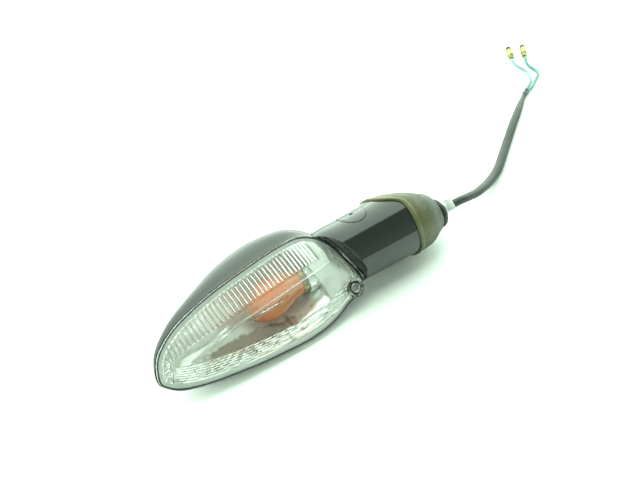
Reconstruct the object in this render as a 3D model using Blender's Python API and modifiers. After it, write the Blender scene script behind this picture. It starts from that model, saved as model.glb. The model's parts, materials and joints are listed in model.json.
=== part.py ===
"""Motorcycle turn signal: a clear-lens lamp head on a stalk, with a rubber boot, a hollow stem and a lead.

The design is drawn in millimetres about the stalk's axis: x along the stalk towards the mount, y away from
the lens side, z up. place() moves it so that the lamp, without its lead, stands on z = 0 around the world's
origin.
"""
import math

import bmesh
import bpy
from mathutils import Matrix, Vector

MM = 0.001
GAP = 0.3

# Where the stalk's datum stands in the world
AXIS_X = 53.2
AXIS_Y = -1.4
AXIS_HEIGHT = 22.4

# The lamp head: a leaf-shaped rim in a plane that leans back, with a bowl behind it and a lens in front.
# In that plane, v runs across the rim and n stands off it, towards the lens.
LENS_LEAN = math.radians(41.7)
RIM_N = 3.4
RIM_OUTLINE = [
    (-158, -11.5), (-154.5, -1.5), (-147, 5.2), (-136, 10.6),
    (-118, 15.4), (-98, 18.6), (-76, 21.2), (-60, 21.8),
    (-51, 19.6), (-43.5, 14.8), (-37.5, 7), (-33.5, -2),
    (-30.2, -10.5), (-28.8, -17.5), (-32, -22.5), (-42, -25.9),
    (-56, -30.6), (-72, -32.6), (-90, -31.6), (-112, -29.3), (-134, -25.6), (-148, -21.3), (-155, -16.7),
]
RIM_SEGMENTS = 48
BOWL_SPINE = ((-120, -6.5), (-62, -5.0))
BOWL_DIRECTION = (0.9, -0.45)
BOWL_DEPTH = 32
BOWL_REACH = (
    (-158, 0.20, 0.20), (-140, 0.38, 0.38), (-120, 0.60, 0.60), (-100, 0.88, 0.70), (-80, 0.97, 0.76),
    (-70, 0.92, 0.84), (-60, 0.83, 0.92), (-50, 0.72, 0.95), (-40, 0.62, 0.95), (-30, 0.55, 0.9),
)
BOWL_ROUNDNESS = 0.67
BOWL_RING_ANGLES = (0, 14, 28, 42, 56, 68, 78, 85)
HOUSING_WALL = 2.4

# What is clamped on the rim, from the housing outwards
REFLECTOR_N = (3.7, 4.5)
REFLECTOR_BOWL_INSET = 4.6
REFLECTOR_DEPTH = 27.2
REFLECTOR_WALL = 1.2
REFLECTOR_SHORTEN_FROM = -75
REFLECTOR_SHORTEN = 0.55
GASKET_N = (4.8, 5.6)
LENS_N = (5.9, 7.4)
LENS_WALL = 2.0
LENS_RIDGE = (
    (-148, -7, 9.5), (-139, -6, 13), (-119, -4.1, 16.5), (-82, -0.9, 18.5), (-60, 0.9, 18), (-51, 1.6, 16.2),
)
LENS_SWELL = 0.8

# Lens screw at the inner lower corner
LENS_SCREW_AT = (-38, -18.6)
LENS_BOSS_RADIUS = 5.4
LENS_BOSS_TOP = 11.4
LENS_RECESS_RADIUS = 4.3
LENS_RECESS_FLOOR = 8.4
LENS_SCREW_RADIUS = 1.9
LENS_SCREW_HEAD_RADIUS = 3.4
LENS_SCREW_LENGTH = 13

# Bulb and socket, on an axis parallel to x
BULB_YZ = (2.4, -5.6)
BULB_TIP = -96
BULB_NECK = -62.3
BULB_RADIUS = 11.6
BULB_NECK_RADIUS = 6.8
BULB_GLASS_WALL = 0.8
BASE_RADIUS = 7.4
BASE_X = (-62, -52)
BASE_PIN_X = -55.5
BASE_PIN_RADIUS = 1.0
BASE_PIN_REACH = 8.4
SLEEVE_X = (-59, -42.8)
SLEEVE_RADII = (8.6, 7.8)
TAIL_X = -46
TAIL_RADII = (5.7, 4.9)
SLEEVE_END_WALL = 1.3
SLOT_SECTOR = (-31, 11)
SLOT_X = (-57, -52.6)
SOCKET_PLATE_X = (-47.9, -46.7)
PIP_X = (-51.7, -50.0)
CONTACT_X = (-49.7, -48.3)
SPRING_X = (-48.0, -44.4)
SPRING_RADIUS = 4.2
SPRING_WIRE = 0.35
SPRING_TURNS = 2.5

# Screws that hold the stalk to the housing, from inside
ARM_SCREW_YZ = ((10.6, 5.4), (-8.6, -10.5))
ARM_SCREW_RADIUS = 1.45
ARM_SCREW_HEAD_RADIUS = 2.6
ARM_BOSS_RADIUS = 3.1
ARM_BOSS_FACE = -46.4
ARM_SCREW_TIP = -27
WIRE_WAY_YZ = (-0.8, -5.4)
WIRE_WAY_RADIUS = 4.6

# The boot's front edge wraps round the stalk: how far it stands from its datum, by angle from +y towards +z
EDGE = (
    (0, -11.6), (45, -11.0), (68, -9.6), (80, -6.6), (90, -2.6),
    (98, -0.2), (108, 0.8), (150, 0.9), (170, 1.6),
    (190, 2.9), (212, 4.0), (235, 3.4), (270, -1.0), (315, -8.0), (360, -11.6),
)

# Stalk and boot: rings of (x, offset towards the stem, radius, share of the edge's wrap)
STALK_RINGS = [
    (-46, 0, 17.6, 0), (-41, 0, 19.0, 0), (-25, 0, 19.3, 0), (-14, 0, 19.6, 0), (8.0, 0, 20.3, 1),
    (8.0, 0, 19.4, 1), (13.5, 0, 19.2, 1), (13.5, 0, 16.4, 1), (-8, 0, 16.4, 0),
]
PLUG_X = -19.2
PLUG_ANGLE = math.radians(66.5)
PLUG_RADIUS = 8.6
PLUG_SEAT = 16.2
LOCK_SCREW = (-0.5, 15.4, 1.95)
BOOT_RINGS = [
    (8.3, 0, 21.0, 1), (9.3, 0, 21.4, 1), (16, 0.5, 20.8, 0.8), (24, 1.9, 18.5, 0.45), (31, 3.1, 14.9, 0.15),
    (35.5, 4.2, 12.6, 0), (36.5, 5.9, 9.6, 0), (37.0, 6.08, 8.6, 0),
    (38.3, 6.08, 8.6, 0), (38.7, 6.08, 9.6, 0),
    (40.2, 6.08, 9.6, 0), (40.6, 6.08, 9.2, 0), (40.6, 6.08, 5.3, 0), (20, 6.08, 5.3, 0), (13.9, 0, 19.5, 1),
    (8.3, 0, 19.7, 1),
]

# Stem, off the stalk's axis, with the boot's hub, washers and nut on it
STEM_YZ = (-3.6, -4.9)
STEM_RADII = (4.9, 3.6)
STEM_X = (-26.5, 51.8)
STEM_FLANGE = (-2.5, -0.5, 10)
FLAT_WASHER = (41.1, 42.3, 9.3)
SPRING_WASHER = (42.6, 43.9, 8.2)
WASHER_HOLE = 5.3
NUT_X = (44.2, 50.2)
NUT_ACROSS_FLATS = 14
NUT_BORE = 5.2

# Lead: route points in design millimetres, heights above the table
SHEATH_RADIUS = 3.0
SHEATH_ROUTE = [
    (10, -3.6, 17.5), (16, -3.6, 17.5), (22, -3.6, 17.5),
    (28, -3.6, 17.5), (34, -3.6, 17.5), (40, -3.6, 17.5),
    (46, -3.6, 17.5), (53, -3.6, 17.5), (60, -3.5, 17.2),
    (66, -3.1, 16.0), (72, -2.1, 14.2), (80, -0.2, 11.5),
    (89, 2.7, 8.8), (98, 6.0, 6.4), (107, 9.6, 4.6), (115.6, 13.4, 3.6), (123.6, 17.7, 3.2), (131, 22.3, 3.1),
    (138.5, 26.9, 3.1), (145, 31, 3.1), (152.8, 35.8, 3.1),
    (159.6, 40, 3.1), (166.6, 44.3, 3.1), (174, 48.7, 3.1),
    (182.5, 53.7, 3.1), (192.8, 59.8, 3.1), (199.2, 63.6, 3.1), (205.3, 67.0, 3.1), (210, 69.5, 3.1),
    (213.6, 71.1, 3.1),
]
WIRE_RADIUS = 1.2
FEED_ROUTE = [
    (213.4, 72.6, 3.0), (217.3, 74.2, 2.4), (222.5, 76.7, 1.6), (228.1, 79.8, 1.3), (232.4, 83.2, 1.3),
    (236, 87.6, 1.3), (238.1, 92.0, 1.3), (238.7, 97.7, 1.3), (238.5, 103.8, 1.5), (239.3, 108.0, 2.3),
]
GROUND_ROUTE = [
    (214.8, 70.1, 3.0), (219.4, 71.9, 2.4), (225.8, 75, 1.6), (232.4, 78.3, 1.3), (237.4, 80.8, 1.3),
    (241.6, 83.0, 1.3), (244.3, 86.2, 1.3), (245.6, 90.5, 1.3), (246.1, 95, 1.3), (247.3, 99.4, 1.5),
    (250.1, 103.8, 2.3),
]
TERMINAL_RADIUS = 2.3
TERMINAL_LENGTH = 21
FEED_TERMINAL_DIRECTION = (0.63, 0.78)
GROUND_TERMINAL_DIRECTION = (0.67, 0.74)

COLOURS = {
    "gloss_black": ((0.006, 0.007, 0.006), 0.08, 0.0),
    "clear": ((0.90, 0.96, 0.92), 0.05, 0.0),
    "chrome": ((0.85, 0.87, 0.86), 0.12, 1.0),
    "orange_glass": ((0.95, 0.30, 0.03), 0.08, 0.0),
    "zinc": ((0.72, 0.75, 0.72), 0.30, 1.0),
    "brass": ((0.72, 0.58, 0.22), 0.30, 1.0),
    "black_rubber": ((0.02, 0.02, 0.02), 0.70, 0.0),
    "olive_rubber": ((0.16, 0.17, 0.09), 0.60, 0.0),
    "phenolic": ((0.20, 0.10, 0.05), 0.60, 0.0),
    "vinyl": ((0.05, 0.06, 0.055), 0.45, 0.0),
    "blue_wire": ((0.40, 0.62, 0.66), 0.40, 0.0),
    "green_wire": ((0.08, 0.42, 0.34), 0.40, 0.0),
}


# Frame and small geometry helpers ---------------------------------------------------------------------------

def place(x, y, z):
    """A design point in the world, in metres."""
    return Vector((x + AXIS_X, y + AXIS_Y, z + AXIS_HEIGHT)) * MM


def table(x, y, height):
    """A design point given by its height above the table."""
    return place(x, y, height - AXIS_HEIGHT)


def head(x, v, n):
    """A point of the lamp head, from its rim-plane coordinates."""
    y = v * math.sin(LENS_LEAN) - n * math.cos(LENS_LEAN)
    z = v * math.cos(LENS_LEAN) + n * math.sin(LENS_LEAN)
    return place(x, y, z)


def catmull_rom(a, b, c, d, t):
    return tuple(
        0.5 * (2 * q + (r - p) * t + (2 * p - 5 * q + 4 * r - s) * t * t + (3 * q - p - 3 * r + s) * t ** 3)
        for p, q, r, s in zip(a, b, c, d)
    )


def evenly(points, count, closed):
    """The points along a polyline at even spacing."""
    if closed:
        points = points + [points[0]]
    lengths = [0.0]
    for a, b in zip(points, points[1:]):
        lengths.append(lengths[-1] + math.dist(a, b))
    spans = count if closed else count - 1
    result = []
    k = 0
    for i in range(count):
        target = min(lengths[-1] * i / spans, lengths[-1] - 1e-9)
        while lengths[k + 1] < target:
            k += 1
        t = (target - lengths[k]) / (lengths[k + 1] - lengths[k])
        result.append(tuple(p + (q - p) * t for p, q in zip(points[k], points[k + 1])))
    return result


def smooth_loop(points, count):
    """A smooth closed curve through the points, at even spacing."""
    n = len(points)
    dense = []
    for i in range(n):
        around = [points[(i + k) % n] for k in (-1, 0, 1, 2)]
        dense += [catmull_rom(*around, t / 12) for t in range(12)]
    return evenly(dense, count, closed=True)


def smooth_path(points, spacing):
    """A smooth open curve through the points, with a point about every spacing millimetres."""
    ends = [points[0]] + points + [points[-1]]
    dense = []
    for i in range(len(points) - 1):
        dense += [catmull_rom(*ends[i:i + 4], t / 10) for t in range(10)]
    dense.append(points[-1])
    length = sum(math.dist(a, b) for a, b in zip(dense, dense[1:]))
    return evenly(dense, max(3, round(length / spacing) + 1), closed=False)


def inset(loop, distance):
    """A closed (x, v) loop moved inwards."""
    n = len(loop)
    area = sum(loop[i - 1][0] * loop[i][1] - loop[i][0] * loop[i - 1][1] for i in range(n))
    side = math.copysign(1, area)
    moved = []
    for i in range(n):
        tx = loop[(i + 1) % n][0] - loop[i - 1][0]
        tv = loop[(i + 1) % n][1] - loop[i - 1][1]
        size = math.hypot(tx, tv)
        moved.append((loop[i][0] - side * tv / size * distance, loop[i][1] + side * tx / size * distance))
    return moved


def ramp(table_rows, x):
    """Linear interpolation of rows that start with x."""
    x = max(table_rows[0][0], min(table_rows[-1][0], x))
    for a, b in zip(table_rows, table_rows[1:]):
        if x <= b[0]:
            t = (x - a[0]) / (b[0] - a[0])
            return tuple(p + (q - p) * t for p, q in zip(a, b))
    return table_rows[-1]


# Objects ----------------------------------------------------------------------------------------------------

def start():
    """An empty file with the parts' collection, the cutters' collection and the materials."""
    for thing in list(bpy.data.objects):
        bpy.data.objects.remove(thing)
    for name in ("turn_signal", "cutters"):
        bpy.context.scene.collection.children.link(bpy.data.collections.new(name))
    for name, (colour, roughness, metallic) in COLOURS.items():
        material = bpy.data.materials.new(name)
        material.use_nodes = True
        shader = material.node_tree.nodes["Principled BSDF"]
        shader.inputs["Base Color"].default_value = (*colour, 1.0)
        shader.inputs["Roughness"].default_value = roughness
        shader.inputs["Metallic"].default_value = metallic


def new_object(name, data, material=None, origin=None):
    """Link an object as a part, or as a cutter when it has no material."""
    thing = bpy.data.objects.new(name, data)
    if origin is not None:
        thing.location = origin
    if material:
        data.materials.append(bpy.data.materials[material])
        bpy.data.collections["turn_signal"].objects.link(thing)
    else:
        thing.hide_render = True
        thing.display_type = "WIRE"
        bpy.data.collections["cutters"].objects.link(thing)
    return thing


def loft(name, rings, material=None, wrap=False, origin=None):
    """A closed solid through equal rings, wrapped from the last ring to the first or closed at both ends.

    An end is closed with strips across the ring, so that a ring that isn't flat keeps its shape."""
    shift = origin or Vector((0, 0, 0))
    mesh = bmesh.new()
    rows = [[mesh.verts.new(point - shift) for point in ring] for ring in rings]
    pairs = list(zip(rows, rows[1:])) + ([(rows[-1], rows[0])] if wrap else [])
    for a, b in pairs:
        for i in range(len(a)):
            j = (i + 1) % len(a)
            mesh.faces.new((a[i], a[j], b[j], b[i]))
    for row in () if wrap else (rows[0], rows[-1]):
        half = len(row) // 2
        for i in range(half):
            strip = [row[i], row[i + 1], row[-i - 1], row[-i]]
            mesh.faces.new(list(dict.fromkeys(strip)))
    bmesh.ops.recalc_face_normals(mesh, faces=mesh.faces)
    data = bpy.data.meshes.new(name)
    mesh.to_mesh(data)
    mesh.free()
    data.shade_smooth()
    data.set_sharp_from_angle(angle=math.radians(35))
    return new_object(name, data, material, origin)


def turned(name, profile, origin, direction, material=None, ring=False, steps=32):
    """A turned piece about an axis through the origin, pointing in the direction.

    The profile is (radius, distance along the axis) in millimetres, from the far end to the near end on the
    outer side. A ring's profile is a closed loop that stays off the axis."""
    data = bpy.data.meshes.new(name)
    points = [(radius * MM, 0, along * MM) for radius, along in profile]
    edges = [(i, i + 1) for i in range(len(points) - 1)]
    if ring:
        edges.append((len(points) - 1, 0))
    data.from_pydata(points, edges, [])
    thing = new_object(name, data, material, origin)
    thing.rotation_euler = Vector(direction).to_track_quat("Z", "Y").to_euler()
    screw = thing.modifiers.new("turn", "SCREW")
    screw.steps = steps
    screw.render_steps = steps
    screw.use_merge_vertices = True
    screw.merge_threshold = 0.00001
    screw.use_smooth_shade = True
    return thing


def rod(name, radius, start_at, direction, length, material=None, steps=24):
    """A plain cylinder from a point, along a direction."""
    profile = [(0, length), (radius, length), (radius, 0), (0, 0)]
    return turned(name, profile, start_at, direction, material, steps=steps)


def tube(name, points, radius, material, resolution=2):
    """A round wire along world points."""
    curve = bpy.data.curves.new(name, "CURVE")
    curve.dimensions = "3D"
    curve.bevel_depth = radius * MM
    curve.bevel_resolution = resolution
    curve.render_resolution_u = 0
    curve.use_fill_caps = True
    spline = curve.splines.new("POLY")
    spline.points.add(len(points) - 1)
    for point, at in zip(spline.points, points):
        point.co = (*at, 1)
    return new_object(name, curve, material)


def box(name, size, centre, long_side, up):
    """A box cutter with its length along one direction and its height along another."""
    mesh = bmesh.new()
    bmesh.ops.create_cube(mesh, size=MM)
    data = bpy.data.meshes.new(name)
    mesh.to_mesh(data)
    mesh.free()
    thing = new_object(name, data, origin=centre)
    along = Vector(long_side).normalized()
    top = Vector(up).normalized()
    thing.rotation_euler = Matrix((along, top.cross(along), top)).transposed().to_euler()
    thing.scale = size
    return thing


def as_mesh(curve_object):
    """Turn a curve object into a mesh with welded caps."""
    graph = bpy.context.evaluated_depsgraph_get()
    data = bpy.data.meshes.new_from_object(curve_object.evaluated_get(graph))
    mesh = bmesh.new()
    mesh.from_mesh(data)
    bmesh.ops.remove_doubles(mesh, verts=mesh.verts, dist=0.00001)
    mesh.to_mesh(data)
    mesh.free()
    name = curve_object.name
    solid = bpy.data.objects.new(name + "_mesh", data)
    solid.matrix_world = curve_object.matrix_world
    bpy.data.collections["turn_signal"].objects.link(solid)
    bpy.data.objects.remove(curve_object)
    solid.name = name
    return solid


def combine(thing, other, operation):
    """Add a Boolean against a cutter or a joined shape."""
    step = thing.modifiers.new(operation.lower(), "BOOLEAN")
    step.operation = operation
    step.object = other
    step.solver = "EXACT"


def cut(thing, *cutters):
    for cutter in cutters:
        combine(thing, cutter, "DIFFERENCE")


def join(thing, *others):
    for other in others:
        combine(thing, other, "UNION")


# Lamp head --------------------------------------------------------------------------------------------------

def rim(distance):
    """The rim's outline, moved inwards by a distance."""
    return inset(smooth_loop(RIM_OUTLINE, RIM_SEGMENTS), distance)


def flat_ring(loop, n):
    return [head(x, v, n) for x, v in loop]


def bowl_rings(loop, base_n, depth, angles):
    """Rings of a bowl that leaves the loop along the bowl's direction and closes over its spine."""
    (x0, v0), (x1, v1) = BOWL_SPINE
    rings = []
    for angle in angles:
        narrow = math.cos(math.radians(angle)) ** BOWL_ROUNDNESS
        deep = math.sin(math.radians(angle)) ** BOWL_ROUNDNESS
        sink = math.sin(math.radians(angle)) ** 3
        away = BOWL_DIRECTION[0] * depth * deep * MM
        down = BOWL_DIRECTION[1] * depth * sink * MM
        ring = []
        for x, v in loop:
            sx = max(x0, min(x1, x))
            sv = v0 + (v1 - v0) * (sx - x0) / (x1 - x0)
            px = sx + (x - sx) * narrow
            reach, dip = ramp(BOWL_REACH, px)[1:]
            ring.append(head(px, sv + (v - sv) * narrow, base_n) + Vector((0, away * reach, down * dip)))
        rings.append(ring)
    return rings


def make_head_volume(name, grow):
    """The whole head's outer volume, with a prism in front of the rim, as a cutter."""
    loop = rim(-grow)
    back = bowl_rings(loop, RIM_N, BOWL_DEPTH + grow, BOWL_RING_ANGLES)
    front = [flat_ring(loop, n) for n in (40, RIM_N + 1)]
    return loft(name, front + back)


def make_head_housing():
    outer = bowl_rings(rim(0), RIM_N, BOWL_DEPTH, BOWL_RING_ANGLES)
    inner = bowl_rings(rim(HOUSING_WALL), RIM_N, BOWL_DEPTH - HOUSING_WALL, BOWL_RING_ANGLES)
    housing = loft("head_housing", outer[::-1] + inner, "gloss_black")
    room = loft("head_room", bowl_rings(rim(0.8), RIM_N, BOWL_DEPTH - 0.8, BOWL_RING_ANGLES))
    x, v = LENS_SCREW_AT
    normal = head(0, 0, 1) - head(0, 0, 0)
    pillar = rod("lens_pillar", 4.2, head(x, v, -25), normal, 25 + RIM_N - GAP)
    combine(pillar, room, "INTERSECT")
    join(housing, pillar)
    for index, (y, z) in enumerate(ARM_SCREW_YZ):
        boss = rod(f"arm_boss_{index}", ARM_BOSS_RADIUS, place(ARM_BOSS_FACE, y, z), (1, 0, 0), 30)
        combine(boss, room, "INTERSECT")
        join(housing, boss)
    for index, (y, z) in enumerate(ARM_SCREW_YZ):
        cut(housing, rod(f"arm_hole_{index}", ARM_SCREW_RADIUS + GAP, place(-60, y, z), (1, 0, 0), 50))
    cut(housing, rod("wire_way", WIRE_WAY_RADIUS, place(-44, *WIRE_WAY_YZ), (1, 0, 0), 30))
    cut(housing, rod("lens_screw_way", LENS_SCREW_RADIUS + GAP, head(x, v, -4.5), normal, 20))


def make_reflector():
    flange = rim(0.6)
    knee = REFLECTOR_SHORTEN_FROM
    mouth = [(min(x, knee) + max(0, x - knee) * REFLECTOR_SHORTEN, v) for x, v in rim(REFLECTOR_BOWL_INSET)]
    back = inset(mouth, -REFLECTOR_WALL)
    low, high = REFLECTOR_N
    outer = bowl_rings(back, low, REFLECTOR_DEPTH + REFLECTOR_WALL, BOWL_RING_ANGLES)
    inner = bowl_rings(mouth, high, REFLECTOR_DEPTH, BOWL_RING_ANGLES)
    rings = outer[::-1] + [flat_ring(flange, low), flat_ring(flange, high)] + inner
    reflector = loft("reflector", rings, "chrome")
    x, v = LENS_SCREW_AT
    normal = head(0, 0, 1) - head(0, 0, 0)
    cut(reflector, rod("reflector_screw_way", 2.6, head(x, v, -5), normal, 20))
    cut(reflector, rod("reflector_socket_way", SLEEVE_RADII[0] + 0.4, place(-68, *BULB_YZ), (1, 0, 0), 30))


def make_lens_gasket():
    low, high = GASKET_N
    loops = (rim(0.6), rim(2.0))
    rings = [flat_ring(loops[k], n) for k, n in ((0, low), (0, high), (1, high), (1, low))]
    loft("lens_gasket", rings, "black_rubber", wrap=True)


def lens_roof(loop, start_n, drop, shares):
    """Rings of the lens from a loop up to its ridge, drop millimetres under the outer surface."""
    rings = []
    for share in shares:
        ring = []
        for x, v in loop:
            rx, rv, rn = ramp(LENS_RIDGE, x)
            rise = (rn - drop - start_n) * share ** LENS_SWELL
            ring.append(head(x + (rx - x) * share, v + (rv - v) * share, start_n + rise))
        rings.append(ring)
    return rings


def make_lens():
    low, high = LENS_N
    outer = [flat_ring(rim(0), low), flat_ring(rim(0), high)]
    outer += lens_roof(rim(2.0), high, 0, (0, 0.15, 0.4, 0.7, 0.93))
    inner = lens_roof(rim(2.0 + LENS_WALL), low, LENS_WALL, (0, 0.15, 0.4, 0.7, 0.9))
    lens = loft("lens", inner[::-1] + outer, "clear")
    x, v = LENS_SCREW_AT
    normal = head(0, 0, 1) - head(0, 0, 0)
    join(lens, rod("lens_boss", LENS_BOSS_RADIUS, head(x, v, low), normal, LENS_BOSS_TOP - low))
    cut(lens, rod("lens_recess", LENS_RECESS_RADIUS, head(x, v, LENS_RECESS_FLOOR), normal, 20))
    cut(lens, rod("lens_hole", LENS_SCREW_RADIUS + GAP, head(x, v, 0), normal, 20))


def make_lens_screw():
    x, v = LENS_SCREW_AT
    normal = head(0, 0, 1) - head(0, 0, 0)
    seat = LENS_RECESS_FLOOR + GAP
    washer = [(3.9, 0.8), (3.9, 0), (2.3, 0), (2.3, 0.8)]
    turned("lens_screw_washer", washer, head(x, v, seat), normal, "black_rubber", ring=True, steps=24)
    r = LENS_SCREW_HEAD_RADIUS
    shank = LENS_SCREW_RADIUS
    profile = [(0, 1.9), (1.8, 1.8), (2.9, 1.3), (r, 0.5), (r, 0), (shank, 0)]
    profile += [(shank, 1.5 - LENS_SCREW_LENGTH)]
    profile += [(0, -LENS_SCREW_LENGTH)]
    screw = turned("lens_screw", profile, head(x, v, seat + 0.8 + GAP), normal, "zinc", steps=24)
    across = head(1, 0, 0) - head(0, 0, 0)
    along = head(0, 1, 0) - head(0, 0, 0)
    for index, side in enumerate((across, along)):
        slot = box(f"cross_slot_{index}", (3.6, 0.8, 1.2), head(x, v, seat + 0.8 + GAP + 1.6), side, normal)
        cut(screw, slot)


# Bulb and socket --------------------------------------------------------------------------------------------

def sector(name, x_range, angles, radii):
    """A cutter that fills a range of x, angle (degrees, from +z) and radius about the bulb's axis."""
    steps = 6
    rings = []
    for i in range(steps + 1):
        turn = math.radians(90 + angles[0] + (angles[1] - angles[0]) * i / steps)
        corners = [(x_range[0], radii[0]), (x_range[1], radii[0])]
        corners += [(x_range[1], radii[1]), (x_range[0], radii[1])]
        ring = []
        for x, radius in corners:
            ring.append(place(x, BULB_YZ[0] + radius * math.cos(turn), BULB_YZ[1] + radius * math.sin(turn)))
        rings.append(ring)
    return loft(name, rings)


def make_bulb_socket():
    x0, x1 = SLEEVE_X
    outer, inner = SLEEVE_RADII
    length = x1 - x0
    floor = length - SLEEVE_END_WALL
    step = TAIL_X - x0
    profile = [(2.4, length), (TAIL_RADII[0], length), (TAIL_RADII[0], step)]
    profile += [(outer, step), (outer, 0), (inner, 0)]
    profile += [(inner, step - 0.7), (TAIL_RADII[1], step - 0.7), (TAIL_RADII[1], floor), (2.4, floor)]
    socket = turned("bulb_socket", profile, place(x0, *BULB_YZ), (1, 0, 0), "zinc", ring=True, steps=40)
    mesh = bmesh.new()
    circles = [(*BULB_YZ, 10.2)] + [(y, z, 3.4) for y, z in ARM_SCREW_YZ]
    for y, z, radius in circles:
        for i in range(24):
            turn = math.tau * i / 24
            for x in SOCKET_PLATE_X:
                mesh.verts.new(place(x, y + radius * math.cos(turn), z + radius * math.sin(turn)))
    hull = bmesh.ops.convex_hull(mesh, input=mesh.verts)
    spare = [v for v in hull["geom_interior"] if isinstance(v, bmesh.types.BMVert)]
    bmesh.ops.delete(mesh, geom=spare, context="VERTS")
    bmesh.ops.recalc_face_normals(mesh, faces=mesh.faces)
    data = bpy.data.meshes.new("socket_plate")
    mesh.to_mesh(data)
    mesh.free()
    plate = new_object("socket_plate", data)
    room = rim(HOUSING_WALL + 0.5)
    depth = BOWL_DEPTH - HOUSING_WALL - 0.5
    combine(plate, loft("socket_room", bowl_rings(room, RIM_N, depth, BOWL_RING_ANGLES)), "INTERSECT")
    cut(plate, rod("plate_bore", (outer + inner) / 2, place(-52, *BULB_YZ), (1, 0, 0), 10, steps=40))
    join(socket, plate)
    for index, (y, z) in enumerate(ARM_SCREW_YZ):
        cut(socket, rod(f"plate_hole_{index}", ARM_SCREW_RADIUS + GAP, place(-52, y, z), (1, 0, 0), 10))
    for index in range(2):
        start_at = SLOT_SECTOR[0] + 180 * index
        end_at = SLOT_SECTOR[1] + 180 * index
        cut(socket, sector(f"slot_{index}", SLOT_X, (start_at, end_at), (6.5, 11)))
        entry = (-62, SLOT_X[0] + 0.5)
        cut(socket, sector(f"slot_entry_{index}", entry, (start_at, start_at + 22), (6.6, 11.2)))


def make_contact():
    along = (1, 0, 0)
    rod("contact_pip", 1.8, place(PIP_X[0], *BULB_YZ), along, PIP_X[1] - PIP_X[0], "brass", steps=16)
    rod("contact_disc", 7.3, place(CONTACT_X[0], *BULB_YZ), along, CONTACT_X[1] - CONTACT_X[0], "phenolic")
    x0 = SPRING_X[0] + SPRING_WIRE
    x1 = SPRING_X[1] - SPRING_WIRE
    points = []
    count = round(SPRING_TURNS * 12)
    for i in range(count + 1):
        turn = math.tau * i / 12
        y = BULB_YZ[0] + SPRING_RADIUS * math.cos(turn)
        z = BULB_YZ[1] + SPRING_RADIUS * math.sin(turn)
        points.append(place(x0 + (x1 - x0) * i / count, y, z))
    as_mesh(tube("contact_spring", points, SPRING_WIRE, "zinc", resolution=1))


def make_bulb():
    length = BULB_NECK - BULB_TIP
    r = BULB_RADIUS
    w = BULB_GLASS_WALL
    outline = [(0, length), (5, length - 0.9), (9, length - 4), (11.2, length - 8), (r, length - 12.5)]
    outline += [(r - 0.5, length - 18), (r - 2.3, length - 24)]
    outline += [(BULB_NECK_RADIUS + 0.6, 5), (BULB_NECK_RADIUS, 0)]
    inside = [(max(0, radius - w), along - w * max(0, 1 - radius / r)) for radius, along in outline]
    inside[-1] = (BULB_NECK_RADIUS - w, 0)
    profile = outline + inside[::-1]
    turned("bulb_glass", profile, place(BULB_NECK, *BULB_YZ), (-1, 0, 0), "orange_glass", steps=32)
    x0, x1 = BASE_X
    profile = [(0, x1 - x0), (BASE_RADIUS - 0.8, x1 - x0), (BASE_RADIUS, x1 - x0 - 0.8)]
    profile += [(BASE_RADIUS, 0), (0, 0)]
    base = turned("bulb_base", profile, place(x0, *BULB_YZ), (1, 0, 0), "brass", steps=32)
    pin = place(BASE_PIN_X, BULB_YZ[0], BULB_YZ[1] - BASE_PIN_REACH)
    join(base, rod("base_pins", BASE_PIN_RADIUS, pin, (0, 0, 1), 2 * BASE_PIN_REACH, steps=16))
    path = [(-63, -3), (-66, -3), (-72, -4.2), (-78, -4.6), (-79.5, -3.8), (-80, -2), (-80.3, 0)]
    path += [(x, -y) for x, y in path[-2::-1]]
    points = [place(x, BULB_YZ[0] + y, BULB_YZ[1]) for x, y in path]
    as_mesh(tube("bulb_filament", points, 0.35, "zinc", resolution=1))


def make_arm_screws():
    for index, (y, z) in enumerate(ARM_SCREW_YZ):
        length = ARM_SCREW_TIP - SOCKET_PLATE_X[0] + GAP
        r = ARM_SCREW_HEAD_RADIUS
        shank = ARM_SCREW_RADIUS
        profile = [(0, length), (shank - 0.5, length), (shank, length - 0.8), (shank, 0), (r, 0), (r, -0.9)]
        profile += [(r - 0.9, -1.9), (0, -1.9)]
        at = place(SOCKET_PLATE_X[0] - GAP, y, z)
        screw = turned(f"arm_screw_{index + 1}", profile, at, (1, 0, 0), "zinc", steps=24)
        for side, name in (((0, 1, 0), "flat"), ((0, 0, 1), "upright")):
            slot_at = at + Vector((-1.9 * MM, 0, 0))
            cut(screw, box(f"arm_slot_{name}_{index}", (3.2, 0.7, 1.6), slot_at, side, (1, 0, 0)))


# Stalk, boot and stem ---------------------------------------------------------------------------------------

def stalk_ring(x0, offset, radius, share, segments=48, grow=0.0):
    """A ring about the stalk's axis, or moved towards the stem, with a share of the boot edge's wrap."""
    reach = math.hypot(*STEM_YZ)
    cy = STEM_YZ[0] / reach * offset
    cz = STEM_YZ[1] / reach * offset
    ring = []
    for i in range(segments):
        turn = math.tau * i / segments
        y = cy + (radius + grow) * math.cos(turn)
        z = cz + (radius + grow) * math.sin(turn)
        ring.append(place(x0 + share * ramp(EDGE, math.degrees(turn))[1], y, z))
    return ring


def plug_way(distance):
    """A point on the plug's axis at a distance from the stalk's axis."""
    return place(PLUG_X, distance * math.cos(PLUG_ANGLE), distance * math.sin(PLUG_ANGLE))


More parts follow.
